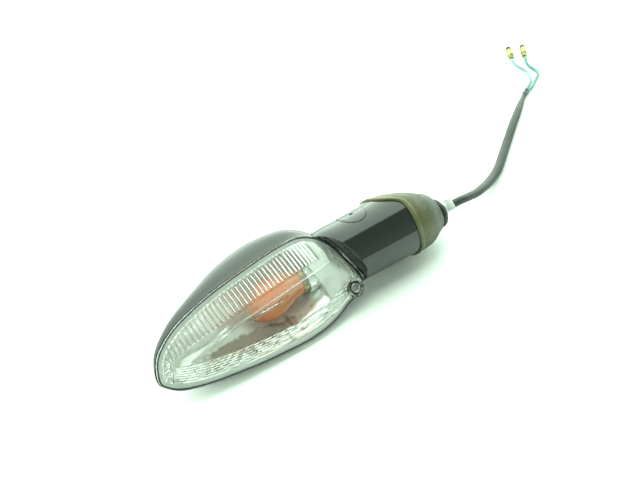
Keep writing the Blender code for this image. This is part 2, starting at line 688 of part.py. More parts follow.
def make_stalk():
    stalk = loft("stalk", [stalk_ring(*row) for row in STALK_RINGS], "gloss_black")
    cut(stalk, make_head_volume("head_clearance", 0.35))
    cut(stalk, rod("stem_bore", STEM_RADII[0] + GAP, place(STEM_X[0] - GAP, *STEM_YZ), (1, 0, 0), 24))
    cut(stalk, rod("stalk_wire_way", WIRE_WAY_RADIUS + 1, place(-44, *WIRE_WAY_YZ), (1, 0, 0), 20))
    for index, (y, z) in enumerate(ARM_SCREW_YZ):
        depth = ARM_SCREW_TIP + 0.5 + 50
        cut(stalk, rod(f"stalk_hole_{index}", ARM_SCREW_RADIUS + GAP, place(-50, y, z), (1, 0, 0), depth))
    up = plug_way(1) - plug_way(0)
    cut(stalk, rod("plug_recess", PLUG_RADIUS + GAP, plug_way(PLUG_SEAT - GAP), up, 12, steps=32))
    cut(stalk, rod("lock_screw_way", LOCK_SCREW[2] + GAP, plug_way(-3), up, 24))


def make_stalk_plug():
    up = plug_way(1) - plug_way(0)
    plug = rod("stalk_plug", PLUG_RADIUS, plug_way(PLUG_SEAT), up, 12, "gloss_black", steps=32)
    skin = loft("plug_skin", [stalk_ring(*row, grow=0.2) for row in STALK_RINGS[:5]])
    combine(plug, skin, "INTERSECT")
    cut(plug, rod("plug_dimple", 1.5, plug_way(18.6), up, 6, steps=16))
    low, high, radius = LOCK_SCREW
    profile = [(0, high - low - 2), (1.1, high - low - 2), (1.1, high - low), (radius - 0.3, high - low)]
    profile += [(radius, high - low - 0.4), (radius, 1.2), (radius - 0.9, 0), (0, 0)]
    turned("stem_lock_screw", profile, plug_way(low), up, "zinc", steps=20)


def make_boot():
    loft("boot", [stalk_ring(*row) for row in BOOT_RINGS], "olive_rubber", wrap=True)


def make_stem():
    x0, x1 = STEM_X
    outer, inner = STEM_RADII
    f0, f1, flange = STEM_FLANGE
    profile = [(outer - 0.6, x1 - x0), (outer, x1 - x0 - 0.6), (outer, f1 - x0), (flange, f1 - x0)]
    profile += [(flange, f0 - x0), (outer, f0 - x0), (outer, 0), (inner, 0), (inner, x1 - x0)]
    turned("stem", profile, place(x0, *STEM_YZ), (1, 0, 0), "zinc", ring=True, steps=32)


def make_mount_hardware():
    for name, (x0, x1, radius) in (("washer_flat", FLAT_WASHER), ("washer_spring", SPRING_WASHER)):
        h = x1 - x0
        profile = [(radius - 0.3, h), (radius, h - 0.3), (radius, 0.3), (radius - 0.3, 0), (WASHER_HOLE, 0)]
        profile += [(WASHER_HOLE, h)]
        turned(name, profile, place(x0, *STEM_YZ), (1, 0, 0), "zinc", ring=True, steps=40)
    x0, x1 = NUT_X
    h = x1 - x0
    corner = NUT_ACROSS_FLATS / 2 / math.cos(math.radians(30))
    profile = [(NUT_ACROSS_FLATS / 2, h), (corner + 0.4, h - 0.7)]
    profile += [(corner + 0.4, 0.7), (NUT_ACROSS_FLATS / 2, 0)]
    profile += [(NUT_BORE, 0), (NUT_BORE, h)]
    nut = turned("mount_nut", profile, place(x0, *STEM_YZ), (1, 0, 0), "zinc", ring=True, steps=36)
    blank = loft("nut_blank", [hexagon(x, corner) for x in (x0 - 1, x1 + 1)])
    combine(nut, blank, "INTERSECT")


def hexagon(x, corner):
    ring = []
    for i in range(6):
        turn = math.tau * (i + 0.5) / 6
        ring.append(place(x, STEM_YZ[0] + corner * math.cos(turn), STEM_YZ[1] + corner * math.sin(turn)))
    return ring


# Lead -------------------------------------------------------------------------------------------------------

def make_lead():
    sheath = smooth_path(SHEATH_ROUTE, 6)
    as_mesh(tube("cable_sheath", [table(*at) for at in sheath], SHEATH_RADIUS, "vinyl"))
    ends = (
        ("feed", FEED_ROUTE, "blue_wire", FEED_TERMINAL_DIRECTION),
        ("ground", GROUND_ROUTE, "green_wire", GROUND_TERMINAL_DIRECTION),
    )
    for name, route, colour, direction in ends:
        route = smooth_path(route, 2.6)
        as_mesh(tube(f"wire_{name}", [table(*at) for at in route], WIRE_RADIUS, colour))
        make_terminal(f"terminal_{name}", route[-1], direction)
    for name, side, colour in (("feed", 1, "blue_wire"), ("ground", -1, "green_wire")):
        spread = side * 1.3
        y0, z0 = STEM_YZ
        y1, z1 = BULB_YZ
        path = [(9.6, y0 + spread, z0), (-24, y0 + spread, z0), (-29, y0 + 0.8 + spread, z0 - 0.2)]
        path += [(-34, y0 + 3.0 + spread, z0 - 0.5), (-38.5, y1 - 1.2 + spread, z1 + 0.1)]
        path.append((-41.7, y1 + spread, z1))
        points = [place(*at) for at in smooth_path(path, 2.6)]
        as_mesh(tube(f"inner_{name}_wire", points, WIRE_RADIUS, colour))


def make_terminal(name, wire_end, direction):
    """A bullet terminal lying on the table, crimped barrel towards the wire, open tip away from it."""
    r = TERMINAL_RADIUS
    length = TERMINAL_LENGTH
    profile = [(0, length - 7), (1.35, length - 7), (1.35, length), (r - 0.3, length)]
    profile += [(r, length - 0.6), (r, 9)]
    profile += [(1.6, 8), (1.6, 6.2), (r - 0.1, 5.2), (r - 0.1, 0.6), (r - 0.5, 0), (0, 0)]
    along = Vector((*direction, 0)).normalized()
    start_at = table(*wire_end[:2], max(wire_end[2], r + 0.1)) + along * 0.8 * MM
    turned(name, profile, start_at, along, "brass", steps=24)


def main():
    start()
    make_head_housing()
    make_reflector()
    make_lens_gasket()
    make_lens()
    make_lens_screw()
    make_bulb_socket()
    make_contact()
    make_bulb()
    make_arm_screws()
    make_stalk()
    make_stalk_plug()
    make_boot()
    make_stem()
    make_mount_hardware()
    make_lead()


main()
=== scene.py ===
"""Looks of a motorcycle turn signal: ribbed lens, glossy black body, rubber boot, hardware and lead.

Sizes are millimetres about the stalk's axis, with x towards the mount and y away from the lens, and metres
where a name ends in _M. place() puts them in the frame. Most visible pieces are fine surfaces built here, and
each stands for a CAD node. The other CAD nodes show as they are, with a material from here.
"""
import json
import math

import bmesh
import bpy
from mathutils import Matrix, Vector


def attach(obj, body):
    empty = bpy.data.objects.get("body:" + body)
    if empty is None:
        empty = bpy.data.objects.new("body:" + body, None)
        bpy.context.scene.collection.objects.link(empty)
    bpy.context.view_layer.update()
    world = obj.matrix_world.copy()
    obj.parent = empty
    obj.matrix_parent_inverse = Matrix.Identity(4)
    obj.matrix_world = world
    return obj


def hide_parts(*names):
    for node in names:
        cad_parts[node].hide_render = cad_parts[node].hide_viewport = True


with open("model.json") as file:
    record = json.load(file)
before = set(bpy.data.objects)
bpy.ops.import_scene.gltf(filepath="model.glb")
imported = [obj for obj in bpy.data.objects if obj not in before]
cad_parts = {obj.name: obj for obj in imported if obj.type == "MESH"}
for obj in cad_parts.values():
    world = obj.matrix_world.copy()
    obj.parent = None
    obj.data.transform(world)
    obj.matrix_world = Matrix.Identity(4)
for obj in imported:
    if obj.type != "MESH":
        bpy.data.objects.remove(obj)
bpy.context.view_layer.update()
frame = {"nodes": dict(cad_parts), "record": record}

MM = 0.001
GAP = 0.3
AXIS_PLACE = (53.2, -1.4, 22.4)
ALONG_X = (1, 0, 0)
UP = Vector((0, 0, 1))
MERGE_DISTANCE_M = 1e-8
POINT_SIZE_M = 1e-7

# Edges above these angles are shaded sharp
SHARP_ANGLE = 32
LENS_SHARP = 24
BOWL_SHARP = 40
SOFT_SHARP = 50

# How finely curves and corners are stepped
LOOP_STEPS = 40
PATH_STEPS = 16
ROUND_STEPS = 4
ROUND_SHARE = 0.45

# Camera, and a white room. Its two ranges are from low, from high, to low and to high.
CAMERA_LENS = 45
CAMERA_SENSOR = 36
CAMERA_AT = (-247.7, -253.0, 310.2)
CAMERA_AIM = (-18.56, 36.65, -22.4)
ROOM_COLOUR = (0.81, 1.0, 0.85, 1)
ROOM_TILT = 0.10
ROOM_EDGE = (-0.04, 0.06, 0.72, 4.8)
ROOM_HEIGHT = (0.2, 0.9, 1.15, 0.7)
FLOOR_HALF_M = 3
FLOOR_DROP_M = 0.0001

# Lamp head: v runs across the rim's plane and n stands off it, towards the lens
LENS_LEAN = math.radians(41.7)
RIM_N = 3.4
RIM_OUTLINE = [
    (-158, -11.5), (-154.5, -1.5), (-147, 5.2), (-136, 10.6), (-118, 15.4), (-98, 18.6), (-76, 21.2),
    (-60, 21.8), (-51, 19.6), (-43.5, 14.8), (-37.5, 7), (-33.5, -2), (-30.2, -10.5), (-28.8, -17.5),
    (-32, -22.5), (-42, -25.9), (-56, -30.6), (-72, -32.6), (-90, -31.6), (-112, -29.3), (-134, -25.6),
    (-148, -21.3), (-155, -16.7),
]
RIM_SEGMENTS = 240
BOWL_SPINE = ((-120, -6.5), (-62, -5.0))
BOWL_DIRECTION = (0.9, -0.45)
BOWL_DEPTH = 32
BOWL_REACH = (
    (-158, 0.20, 0.20), (-140, 0.38, 0.38), (-120, 0.60, 0.60), (-100, 0.88, 0.70), (-80, 0.97, 0.76),
    (-70, 0.92, 0.84), (-60, 0.83, 0.92), (-50, 0.72, 0.95), (-40, 0.62, 0.95), (-30, 0.55, 0.9),
)
BOWL_ROUNDNESS = 0.67
BOWL_ANGLES = (0, 3, 7, 12, 18, 24, 30, 36, 42, 48, 54, 60, 66, 71, 76, 80, 83, 85.5)
HOUSING_WALL = 2.4
HOUSING_LIP = ((0.02, 0.25), (0.12, 0.08), (0.35, 0))
PRISM_TOP = 40
PILLAR_RADIUS = 4.2
PILLAR_LENGTH = 25
PILLAR_INSET = 0.8
REFLECTOR_N = (3.7, 4.5)
REFLECTOR_BOWL_INSET = 4.6
REFLECTOR_DEPTH = 27.2
REFLECTOR_WALL = 1.2
REFLECTOR_SHORTEN_FROM = -75
REFLECTOR_SHORTEN = 0.55
REFLECTOR_FLANGE_INSET = 0.6
REFLECTOR_SCREW_HOLE = (2.6, -5)
GASKET_N = (4.8, 5.6)
GASKET_INSETS = (0.6, 1.3)

# Lens: a flange, facets that rise to a ridge, a step beside the ridge, and a wall at the inner end
LENS_N = (5.9, 7.4)
LENS_FLANGE = 3.2
LENS_WALL = 1.7
LENS_RIDGE = (
    (-148, -7, 9.5), (-139, -6, 13), (-119, -4.1, 16.5), (-82, -0.9, 18.5), (-60, 0.9, 18),
    (-45, 2.0, 16.5),
)
LENS_STEP = (
    (-142, 0.3, 0), (-132, 0.6, 0.8), (-115, 1.8, 2.9), (-77, 3.5, 4.4), (-62, 4.5, 4.1), (-43, 7.3, 2.5),
)
LENS_END_TOP = (-46, 0.3, 15.0)
LENS_END_NORMAL = (0.876, 0.482)
LENS_END_SLOPE = 0.93
LENS_CREASE = 0.5
LENS_LOOP = 1800
LENS_SHARES = 26
LENS_TOP_SHARE = 0.985
LENS_BOSS_ROUND = 0.5
LENS_EDGE_INSETS = (0.0, 0.12, 0.4)
LENS_BULGES = (0.85, 0.9)
LOWER_RISE = (0.15, -0.35)
END_LEAN = (0.1, 0.4)
STEP_LIMIT = 0.5
# Where and how large the brown patch of painted bulb reflection on the reflector is
BULB_REFLECTION_PAINT_AT = (-109, -18.6, -4)
BULB_REFLECTION_PAINT_RADII_M = (0.040, 0.0064, 0.0064)
RIB_PITCH = (3.15, 2.4)
RIB_DEPTH = 0.62
RIB_SHARE = 0.72
RIB_STOP = (RIB_SHARE + 0.05, RIB_SHARE - 0.03)
RIB_END_X = -54
RIB_START = (0.02, 0.06)
TIP_X = -140
RIB_PITCH_X = (-158, -60)
TIP_RIB_END = (0.75, 0.6)
TIP_RIB_V = (-20, -14)
RIDGE_PITCH = 1.3
RIDGE_DEPTH = 0.45
RIDGE_BAND = (0.9, 9.6)
RIDGE_FADE = 0.3
RIDGE_START_X = (-152, -146)
BULLSEYE = (-141, -14.7, 3.8)
BULLSEYE_DEPTH = 0.22
BULLSEYE_PITCH = 1.7

# Lens screw
SCREW_AT = (-38, -18.6)
LENS_BOSS = (5.4, 11.4)
LENS_RECESS = (4.3, 8.4)
SCREW_SEAT = 9.8
SCREW_LENGTH = 13
SCREW_RADIUS = 1.9
SCREW_HOLE_FROM = -4.5
SEAL_RADII = (3.9, 2.3)
SEAL_THICKNESS = 0.8
SEAL_ROUND = 0.2
SCREW_HEAD = (2.9, 0.45, 0.95)
SLOT_SIZE = (3.7, 0.85, 2.4)
SLOT_HEIGHT = 1.7
SLOT_TURN = 0.6

# Bulb and the way for its socket
BULB_YZ = (2.4, -5.6)
BULB_NECK = -62.3
BULB_LENGTH = 33.7
BULB_RADIUS = 11.6
BULB_NECK_RADIUS = 6.8
BULB_WALL = 0.8
SLEEVE_RADIUS = 8.6
SLEEVE_GAP = 0.4
SLEEVE_WAY = (-68, 30)

# Screws that hold the stalk to the head, and the way for the wires
ARM_SCREW_YZ = ((10.6, 5.4), (-8.6, -10.5))
ARM_HOLE_RADIUS = 1.75
ARM_BOSS_RADIUS = 3.1
ARM_BOSS_FACE = -46.4
ARM_BOSS_LENGTH = 30
ARM_HOLE_HEAD = (-60, 50)
ARM_HOLE_STALK = (-50, 23.5)
WIRE_WAY_YZ = (-0.8, -5.4)
WIRE_WAY_RADIUS = 4.6
WIRE_WAY_X = -44
WIRE_WAY_LENGTHS = (30, 20)

# Stalk, plug, boot and stem. EDGE is the boot's edge, as x by angle. A row of the stalk or the boot is x,
# offset towards the stem, radius and share of the edge.
EDGE = (
    (0, -11.6), (45, -11.0), (68, -9.6), (80, -6.6), (90, -2.6), (98, -0.2), (108, 0.8), (150, 0.9),
    (170, 1.6), (190, 2.9), (212, 4.0), (235, 3.4), (270, -1.0), (315, -8.0), (360, -11.6),
)
TURN_SEGMENTS = 144
STALK_OUTSIDE = (
    (-46, 0, 17.6, 0), (-41, 0, 19.0, 0), (-25, 0, 19.3, 0), (-14, 0, 19.6, 0), (8.0, 0, 20.3, 1),
)
STALK_END = (
    (8.0, 0, 19.4, 1), (13.2, 0, 19.3, 1), (13.5, 0, 19.0, 1), (13.5, 0, 16.4, 1), (-8, 0, 16.4, 0),
)
PLUG_X = -19.2
PLUG_ANGLE = math.radians(66.5)
PLUG_RADIUS = 8.6
PLUG_SEAT = 16.2
PLUG_LENGTH = 12
PLUG_PROUD = 0.15
PLUG_DIMPLE = [(0, 0), (0.9, 0.15), (1.5, 0.9), (1.7, 6), (0, 6)]
PLUG_DIMPLE_AT = 18.7
PLUG_BEVEL = 0.35
LOCK_SCREW_WAY = (2.25, -3, 24)
HEAD_GAP = 0.35
OUTSIDE_ROWS = 18
BOOT_LIP = (
    (8.3, 0, 20.5, 1), (8.35, 0, 21.1, 1), (8.8, 0, 21.55, 1), (9.6, 0, 21.6, 1), (10.4, 0, 21.3, 1),
)
BOOT_OUTSIDE = (
    (11.2, 0.05, 20.95, 0.98), (16, 0.5, 20.7, 0.8), (24, 1.9, 18.5, 0.45), (31, 3.1, 14.9, 0.15),
    (34.6, 3.9, 13.0, 0.02), (35.6, 4.6, 11.8, 0),
)
BOOT_HUB = (
    (36.1, 5.4, 10.4, 0), (36.5, 5.9, 9.6, 0), (36.9, 6.08, 8.7, 0), (37.3, 6.08, 8.5, 0),
    (38.1, 6.08, 8.5, 0), (38.5, 6.08, 8.8, 0), (38.7, 6.08, 9.4, 0), (39.0, 6.08, 9.6, 0),
    (40.1, 6.08, 9.6, 0), (40.5, 6.08, 9.4, 0), (40.6, 6.08, 9.1, 0), (40.6, 6.08, 5.5, 0),
    (40.4, 6.08, 5.3, 0), (20, 6.08, 5.3, 0), (13.9, 0, 19.5, 1), (8.6, 0, 19.7, 1), (8.3, 0, 20.0, 1),
)
BOOT_ROWS = 24
# Along frame x, where the painted shade on the boot's tapering shoulder fades in
BOOT_PAINTED_SHADE_X_M = (0.070, 0.082)
STEM_YZ = (-3.6, -4.9)
STEM_RADII = (4.9, 3.6)
STEM_X = (-26.5, 51.8)
STEM_FLANGE = (-2.5, -0.5, 10)
STEM_WAY_LENGTH = 24
STEM_CHAMFER = 0.7
STEM_BORE_CHAMFER = 0.2
THREAD_FROM = 36.6
THREAD_PITCH = 1.25
THREAD_DEPTH = 0.62
THREAD_STEPS = 64
FLAT_WASHER = (41.1, 42.3, 9.3)
SPRING_WASHER = (42.6, 43.9, 8.2)
WASHER_HOLE = 5.3
WASHER_ROUND = 0.25
SPLIT_SIZE = (5, 0.5, 6)
SPLIT_YZ = (-5.2, 4.4)
SPLIT_SIDES = ((0.75, 0.5, 0.5), (0, -0.76, 0.65))
NUT_X = (44.2, 50.2)
NUT_ACROSS_FLATS = 14
NUT_BORE = 5.2
NUT_BEVEL = 0.18

# Lead: points in design millimetres, heights above the table
SHEATH_ROUTE = [
    (28, -3.6, 17.5), (34, -3.6, 17.5), (40, -3.6, 17.5), (46, -3.6, 17.5), (53, -3.6, 17.5),
    (60, -3.5, 17.2), (66, -3.1, 16.0), (72, -2.1, 14.2), (80, -0.2, 11.5), (89, 2.7, 8.8), (98, 6.0, 6.4),
    (107, 9.6, 4.6), (115.6, 13.4, 3.6), (123.6, 17.7, 3.2), (131, 22.3, 3.1), (138.5, 26.9, 3.1),
    (145, 31, 3.1), (152.8, 35.8, 3.1), (159.6, 40, 3.1), (166.6, 44.3, 3.1), (174, 48.7, 3.1),
    (182.5, 53.7, 3.1), (192.8, 59.8, 3.1), (199.2, 63.6, 3.1), (205.3, 67.0, 3.1), (210, 69.5, 3.1),
    (213.6, 71.1, 3.1),
]
SHEATH_RADIUS = 3.0
SHEATH_WIDTHS = (
    (0, 2.0, 2.2), (3, 1.9, 2.1), (8, 1.55, 1.9), (13, 1.7, 2.0), (22, 2.4, 2.4), (36, 2.85, 2.85),
    (80, 3.1, 3.1), (125, 3.1, 3.1), (160, 2.75, 2.75), (200, 2.7, 2.7),
)
SHEATH_SPACING = 1.5
SHEATH_LYING = (4.5, 3.1)
SHEATH_WALL = 0.55
OPEN_RINGS = 4
WIRE_SPACING = 1.0
WIRE_RADIUS = 1.12
FEED_ROUTE = [
    (208.5, 69.7, 3.0), (213.4, 72.4, 2.8), (217.3, 74.2, 2.2), (222.5, 76.7, 1.3), (228.1, 79.8, 1.05),
    (232.4, 83.2, 1.05), (236, 87.6, 1.05), (238.1, 92.0, 1.05), (238.7, 97.7, 1.05), (238.5, 103.8, 1.4),
    (239.3, 108.0, 2.3), (241.4, 110.6, 2.4),
]
GROUND_ROUTE = [
    (209.1, 68.7, 3.0), (214.6, 70.6, 2.8), (219.4, 72.2, 2.2), (225.8, 75, 1.3), (232.4, 78.3, 1.05),
    (237.4, 80.8, 1.05), (241.6, 83.0, 1.05), (244.3, 86.2, 1.05), (245.6, 90.5, 1.05), (246.1, 95, 1.05),
    (247.3, 99.4, 1.4), (250.1, 103.8, 2.3), (252.3, 106.2, 2.4),
]
FEED_WIRE_END = FEED_ROUTE[-2][:2]
GROUND_WIRE_END = GROUND_ROUTE[-2][:2]
TERMINAL_RADIUS = 2.3
TERMINAL_LENGTH = 21
TERMINAL_BORE = (1.75, 8)
TERMINAL_START = 0.8
TERMINAL_LIFT = 0.1
TERMINAL_DARK_M = 0.0042
FEED_DIRECTION = (0.63, 0.78)
GROUND_DIRECTION = (0.67, 0.74)
SEAM_AT = 16
SEAM_SIZE = (12, 0.35, 1.8)
CRIMP_RADII = (2.2, 1.7)
CRIMP_SWEEP = (96, 348)
CRIMP_STEPS = 28
CRIMP_FOLD = 0.55
CRIMP_FOLD_WIDTH = 0.42
CRIMP_RINGS = ((0, 0.94), (0.06, 1.0), (0.94, 1.0), (1, 0.94))
CRIMP_LENGTH = 5.4
CRIMP_BACK = 0.4

record = frame["record"]
BODY_OF = {node: body for body, members in record["behaviour"]["bodies"].items() for node in members}
SLOT_OF = {part["node"]: part["material_slot"] for part in record["subparts"]}


# Places and curves ------------

def place(x, y, z):
    """A design point in the frame, in metres."""
    return Vector((x + AXIS_PLACE[0], y + AXIS_PLACE[1], z + AXIS_PLACE[2])) * MM


def table(x, y, height):
    """A point at a height above the table."""
    return place(x, y, height - AXIS_PLACE[2])


def around(x, y, z, radius, turn):
    """A point on a circle about a line along x."""
    return place(x, y + radius * math.cos(turn), z + radius * math.sin(turn))


def head(x, v, n):
    """A point of the lamp head, from its rim-plane coordinates."""
    y = v * math.sin(LENS_LEAN) - n * math.cos(LENS_LEAN)
    z = v * math.cos(LENS_LEAN) + n * math.sin(LENS_LEAN)
    return place(x, y, z)


def head_normal():
    return (head(0, 0, 1) - head(0, 0, 0)).normalized()


def full_turn(steps):
    return [math.tau * i / steps for i in range(steps)]


def catmull_rom(a, b, c, d, t):
    """The point at share t between b and c, on a smooth curve through all four."""
    return tuple(
        0.5 * (2 * q + (r - p) * t + (2 * p - 5 * q + 4 * r - s) * t * t + (3 * q - p - 3 * r + s) * t ** 3)
        for p, q, r, s in zip(a, b, c, d)
    )


def path_length(points):
    return sum(math.dist(a, b) for a, b in zip(points, points[1:]))


def evenly(points, count, closed):
    """The points along a polyline at even spacing."""
    if closed:
        points = points + [points[0]]
    lengths = [0.0]
    for a, b in zip(points, points[1:]):
        lengths.append(lengths[-1] + math.dist(a, b))
    spans = count if closed else count - 1
    result = []
    k = 0
    for i in range(count):
        target = min(lengths[-1] * i / spans, lengths[-1] - 1e-9)
        while lengths[k + 1] < target:
            k += 1
        t = (target - lengths[k]) / (lengths[k + 1] - lengths[k])
        result.append(tuple(p + (q - p) * t for p, q in zip(points[k], points[k + 1])))
    return result


def smooth_loop(points, count):
    n = len(points)
    dense = []
    for i in range(n):
        four = [points[(i + k) % n] for k in (-1, 0, 1, 2)]
        dense += [catmull_rom(*four, t / LOOP_STEPS) for t in range(LOOP_STEPS)]
    return evenly(dense, count, closed=True)


def smooth_path(points, spacing):
    ends = [points[0]] + points + [points[-1]]
    dense = []
    for i in range(len(points) - 1):
        dense += [catmull_rom(*ends[i:i + 4], t / PATH_STEPS) for t in range(PATH_STEPS)]
    dense.append(points[-1])
    return evenly(dense, max(3, round(path_length(dense) / spacing) + 1), closed=False)


def inset(loop, distance):
    """A closed (x, v) loop moved inwards."""
    n = len(loop)
    area = sum(loop[i - 1][0] * loop[i][1] - loop[i][0] * loop[i - 1][1] for i in range(n))
    side = math.copysign(1, area)
    moved = []
    for i in range(n):
        tx = loop[(i + 1) % n][0] - loop[i - 1][0]
        tv = loop[(i + 1) % n][1] - loop[i - 1][1]
        size = math.hypot(tx, tv)
        moved.append((loop[i][0] - side * tv / size * distance, loop[i][1] + side * tx / size * distance))
    return moved


def curve_at(rows, x):
    """Smooth interpolation of rows that start with x."""
    x = max(rows[0][0], min(rows[-1][0], x))
    i = max(k for k in range(len(rows) - 1) if rows[k][0] <= x)
    a, b = rows[i], rows[i + 1]
    before, after = rows[max(i - 1, 0)], rows[min(i + 2, len(rows) - 1)]
    h = b[0] - a[0]
    t = (x - a[0]) / h
    values = []
    for k in range(1, len(a)):
        m0 = (b[k] - before[k]) / (b[0] - before[0]) * h
        m1 = (after[k] - a[k]) / (after[0] - a[0]) * h
        value = (2 * t ** 3 - 3 * t ** 2 + 1) * a[k] + (t ** 3 - 2 * t ** 2 + t) * m0
        values.append(value + (3 * t ** 2 - 2 * t ** 3) * b[k] + (t ** 3 - t ** 2) * m1)
    return values


def ease(x, low, high):
    """0 at low, 1 at high and smooth between them, whichever of the two is larger."""
    t = max(0.0, min(1.0, (x - low) / (high - low)))
    return t * t * (3 - 2 * t)


def rounded(profile, size, closed=False):
    """A profile with its corners rounded off."""
    result = []
    n = len(profile)
    for i, corner in enumerate(profile):
        if not closed and i in (0, n - 1):
            result.append(corner)
            continue
        ends = []
        for other in (profile[i - 1], profile[(i + 1) % n]):
            length = max(math.dist(corner, other), 1e-9)
            share = min(size / length, ROUND_SHARE)
            ends.append(tuple(c + (o - c) * share for c, o in zip(corner, other)))
        for k in range(ROUND_STEPS + 1):
            t = k / ROUND_STEPS
            weights = ((1 - t) ** 2, 2 * t * (1 - t), t * t)
            parts = zip(ends[0], corner, ends[1])
            result.append(tuple(sum(w * p for w, p in zip(weights, q)) for q in parts))
    return result


def rounded_box(a, b, start, end, size):
    return rounded([(a, start), (a, end), (b, end), (b, start)], size, closed=True)


# Meshes ------------

def shade(data, sharp):
    data.shade_smooth()
    data.set_sharp_from_angle(angle=math.radians(sharp))


def add_object(name, data):
    thing = bpy.data.objects.new(name, data)
    bpy.context.scene.collection.objects.link(thing)
    return thing


def object_from(mesh, name, material, sharp=SHARP_ANGLE):
    """An object from a bmesh, with its normals out and its surface smooth."""
    bmesh.ops.remove_doubles(mesh, verts=mesh.verts, dist=MERGE_DISTANCE_M)
    bmesh.ops.recalc_face_normals(mesh, faces=mesh.faces)
    data = bpy.data.meshes.new(name)
    mesh.to_mesh(data)
    mesh.free()
    shade(data, sharp)
    if material:
        data.materials.append(MATERIALS[material])
    return add_object(name, data)


def zip_row(mesh, row, key):
    """Close a ring that starts at its low end: triangles join its two sides, matched by key."""
    top = max(range(len(row)), key=lambda i: key(row[i].co))
    left, right = row[:top + 1], [row[0]] + row[:top - 1:-1]
    a = b = 0
    while a < len(left) - 1 or b < len(right) - 1:
        go_left = b == len(right) - 1 or (a < len(left) - 1 and key(left[a + 1].co) < key(right[b + 1].co))
        corner = left[a + 1] if go_left else right[b + 1]
        face = list(dict.fromkeys([left[a], right[b], corner]))
        if len(face) == 3 and not mesh.faces.get(face):
            mesh.faces.new(face)
        a, b = (a + 1, b) if go_left else (a, b + 1)


def skin(name, rings, material=None, wrap=False, sharp=SHARP_ANGLE, key=None):
    """A closed surface through equal rings, wrapped round to the first ring or closed at both ends."""
    mesh = bmesh.new()
    rows = [[mesh.verts.new(point) for point in ring] for ring in rings]
    for a, b in list(zip(rows, rows[1:])) + ([(rows[-1], rows[0])] if wrap else []):
        for i in range(len(a)):
            j = (i + 1) % len(a)
            mesh.faces.new((a[i], a[j], b[j], b[i]))
    for row in () if wrap else (rows[0], rows[-1]):
        if max((v.co - row[0].co).length for v in row) < POINT_SIZE_M:
            continue
        if key:
            zip_row(mesh, row, key)
            continue
        half = len(row) // 2
        for i in range(half):
            mesh.faces.new(list(dict.fromkeys([row[i], row[i + 1], row[-i - 1], row[-i]])))
    return object_from(mesh, name, material, sharp)


def lathe(name, profile, origin, direction, material=None, steps=64, ring=False):
    """A turned piece. The profile is (radius, distance along the axis), in millimetres."""
    axis = Vector(direction).normalized()
    side = axis.orthogonal().normalized()
    up = axis.cross(side)
    out = [side * math.cos(t) + up * math.sin(t) for t in full_turn(steps)]
    rings = [[origin + (axis * along + way * radius) * MM for way in out] for radius, along in profile]
    return skin(name, rings, material, wrap=ring)


def rod(radius, origin, direction, length, steps=48):
    profile = [(0, 0), (radius, 0), (radius, length), (0, length)]
    return lathe("cutter", profile, origin, direction, steps=steps)


def bore(radius, x, yz, length, steps=48):
    """A round cutter along x."""
    return rod(radius, place(x, *yz), ALONG_X, length, steps)


def screw_rod(radius, n, length=20, steps=48):
    """A round cutter along the lens screw, from height n."""
    return rod(radius, head(*SCREW_AT, n), head_normal(), length, steps)


def block(size, centre, long_side, up):
    """A block cutter, in millimetres, with its first side along long_side."""
    x = Vector(long_side).normalized()
    z = Vector(up).normalized()
    y = z.cross(x)
    mesh = bmesh.new()
    bmesh.ops.create_cube(mesh, size=1)
    for vert in mesh.verts:
        a, b, c = (p * s * MM for p, s in zip(vert.co, size))
        vert.co = centre + x * a + y * b + z * c
    return object_from(mesh, "cutter", None)


def combine(thing, other, operation, sharp=SHARP_ANGLE):
    """Join, cut or intersect the first object with the other, which is used up."""
    modifier = thing.modifiers.new(operation, "BOOLEAN")
    modifier.operation = operation
    modifier.object = other
    modifier.solver = "MANIFOLD"
    settle(thing, sharp)
    bpy.data.objects.remove(other)


def settle(thing, sharp):
    """Apply an object's modifiers and keep only its own material."""
    depsgraph = bpy.context.evaluated_depsgraph_get()
    data = bpy.data.meshes.new_from_object(thing.evaluated_get(depsgraph))
    own = thing.data.materials[0] if thing.data.materials else None
    data.materials.clear()
    data.materials.append(own)
    data.polygons.foreach_set("material_index", [0] * len(data.polygons))
    thing.modifiers.clear()
    thing.data = data
    shade(data, sharp)


def cut(thing, cutter, sharp=SHARP_ANGLE):
    combine(thing, cutter, "DIFFERENCE", sharp)


def bevel(thing, width, angle=35):
    modifier = thing.modifiers.new("bevel", "BEVEL")
    modifier.width = width * MM
    modifier.segments = 2
    modifier.limit_method = "ANGLE"
    modifier.angle_limit = math.radians(angle)
    settle(thing, SHARP_ANGLE)


def stand_for(piece, node):
    """The piece replaces the node, and takes its body."""
    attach(piece, BODY_OF[node])
    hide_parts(node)


# Materials ------------

def put(tree, socket, value):
    """Link a socket to another one, or give it a plain value."""
    if isinstance(value, bpy.types.NodeSocket):
        tree.links.new(value, socket)
    else:
        socket.default_value = value


def map_range(tree, value, *limits):
    """A node that maps a value, with limits in the order from low, from high, to low, to high."""
    node = tree.nodes.new("ShaderNodeMapRange")
    put(tree, node.inputs["Value"], value)
    for name, number in zip(("From Min", "From Max", "To Min", "To Max"), limits):
        node.inputs[name].default_value = number
    return node


def maths_node(tree, operation, *values):
    node = tree.nodes.new("ShaderNodeMath")
    node.operation = operation
    for socket, value in zip(node.inputs, values):
        put(tree, socket, value)
    return node.outputs["Value"]


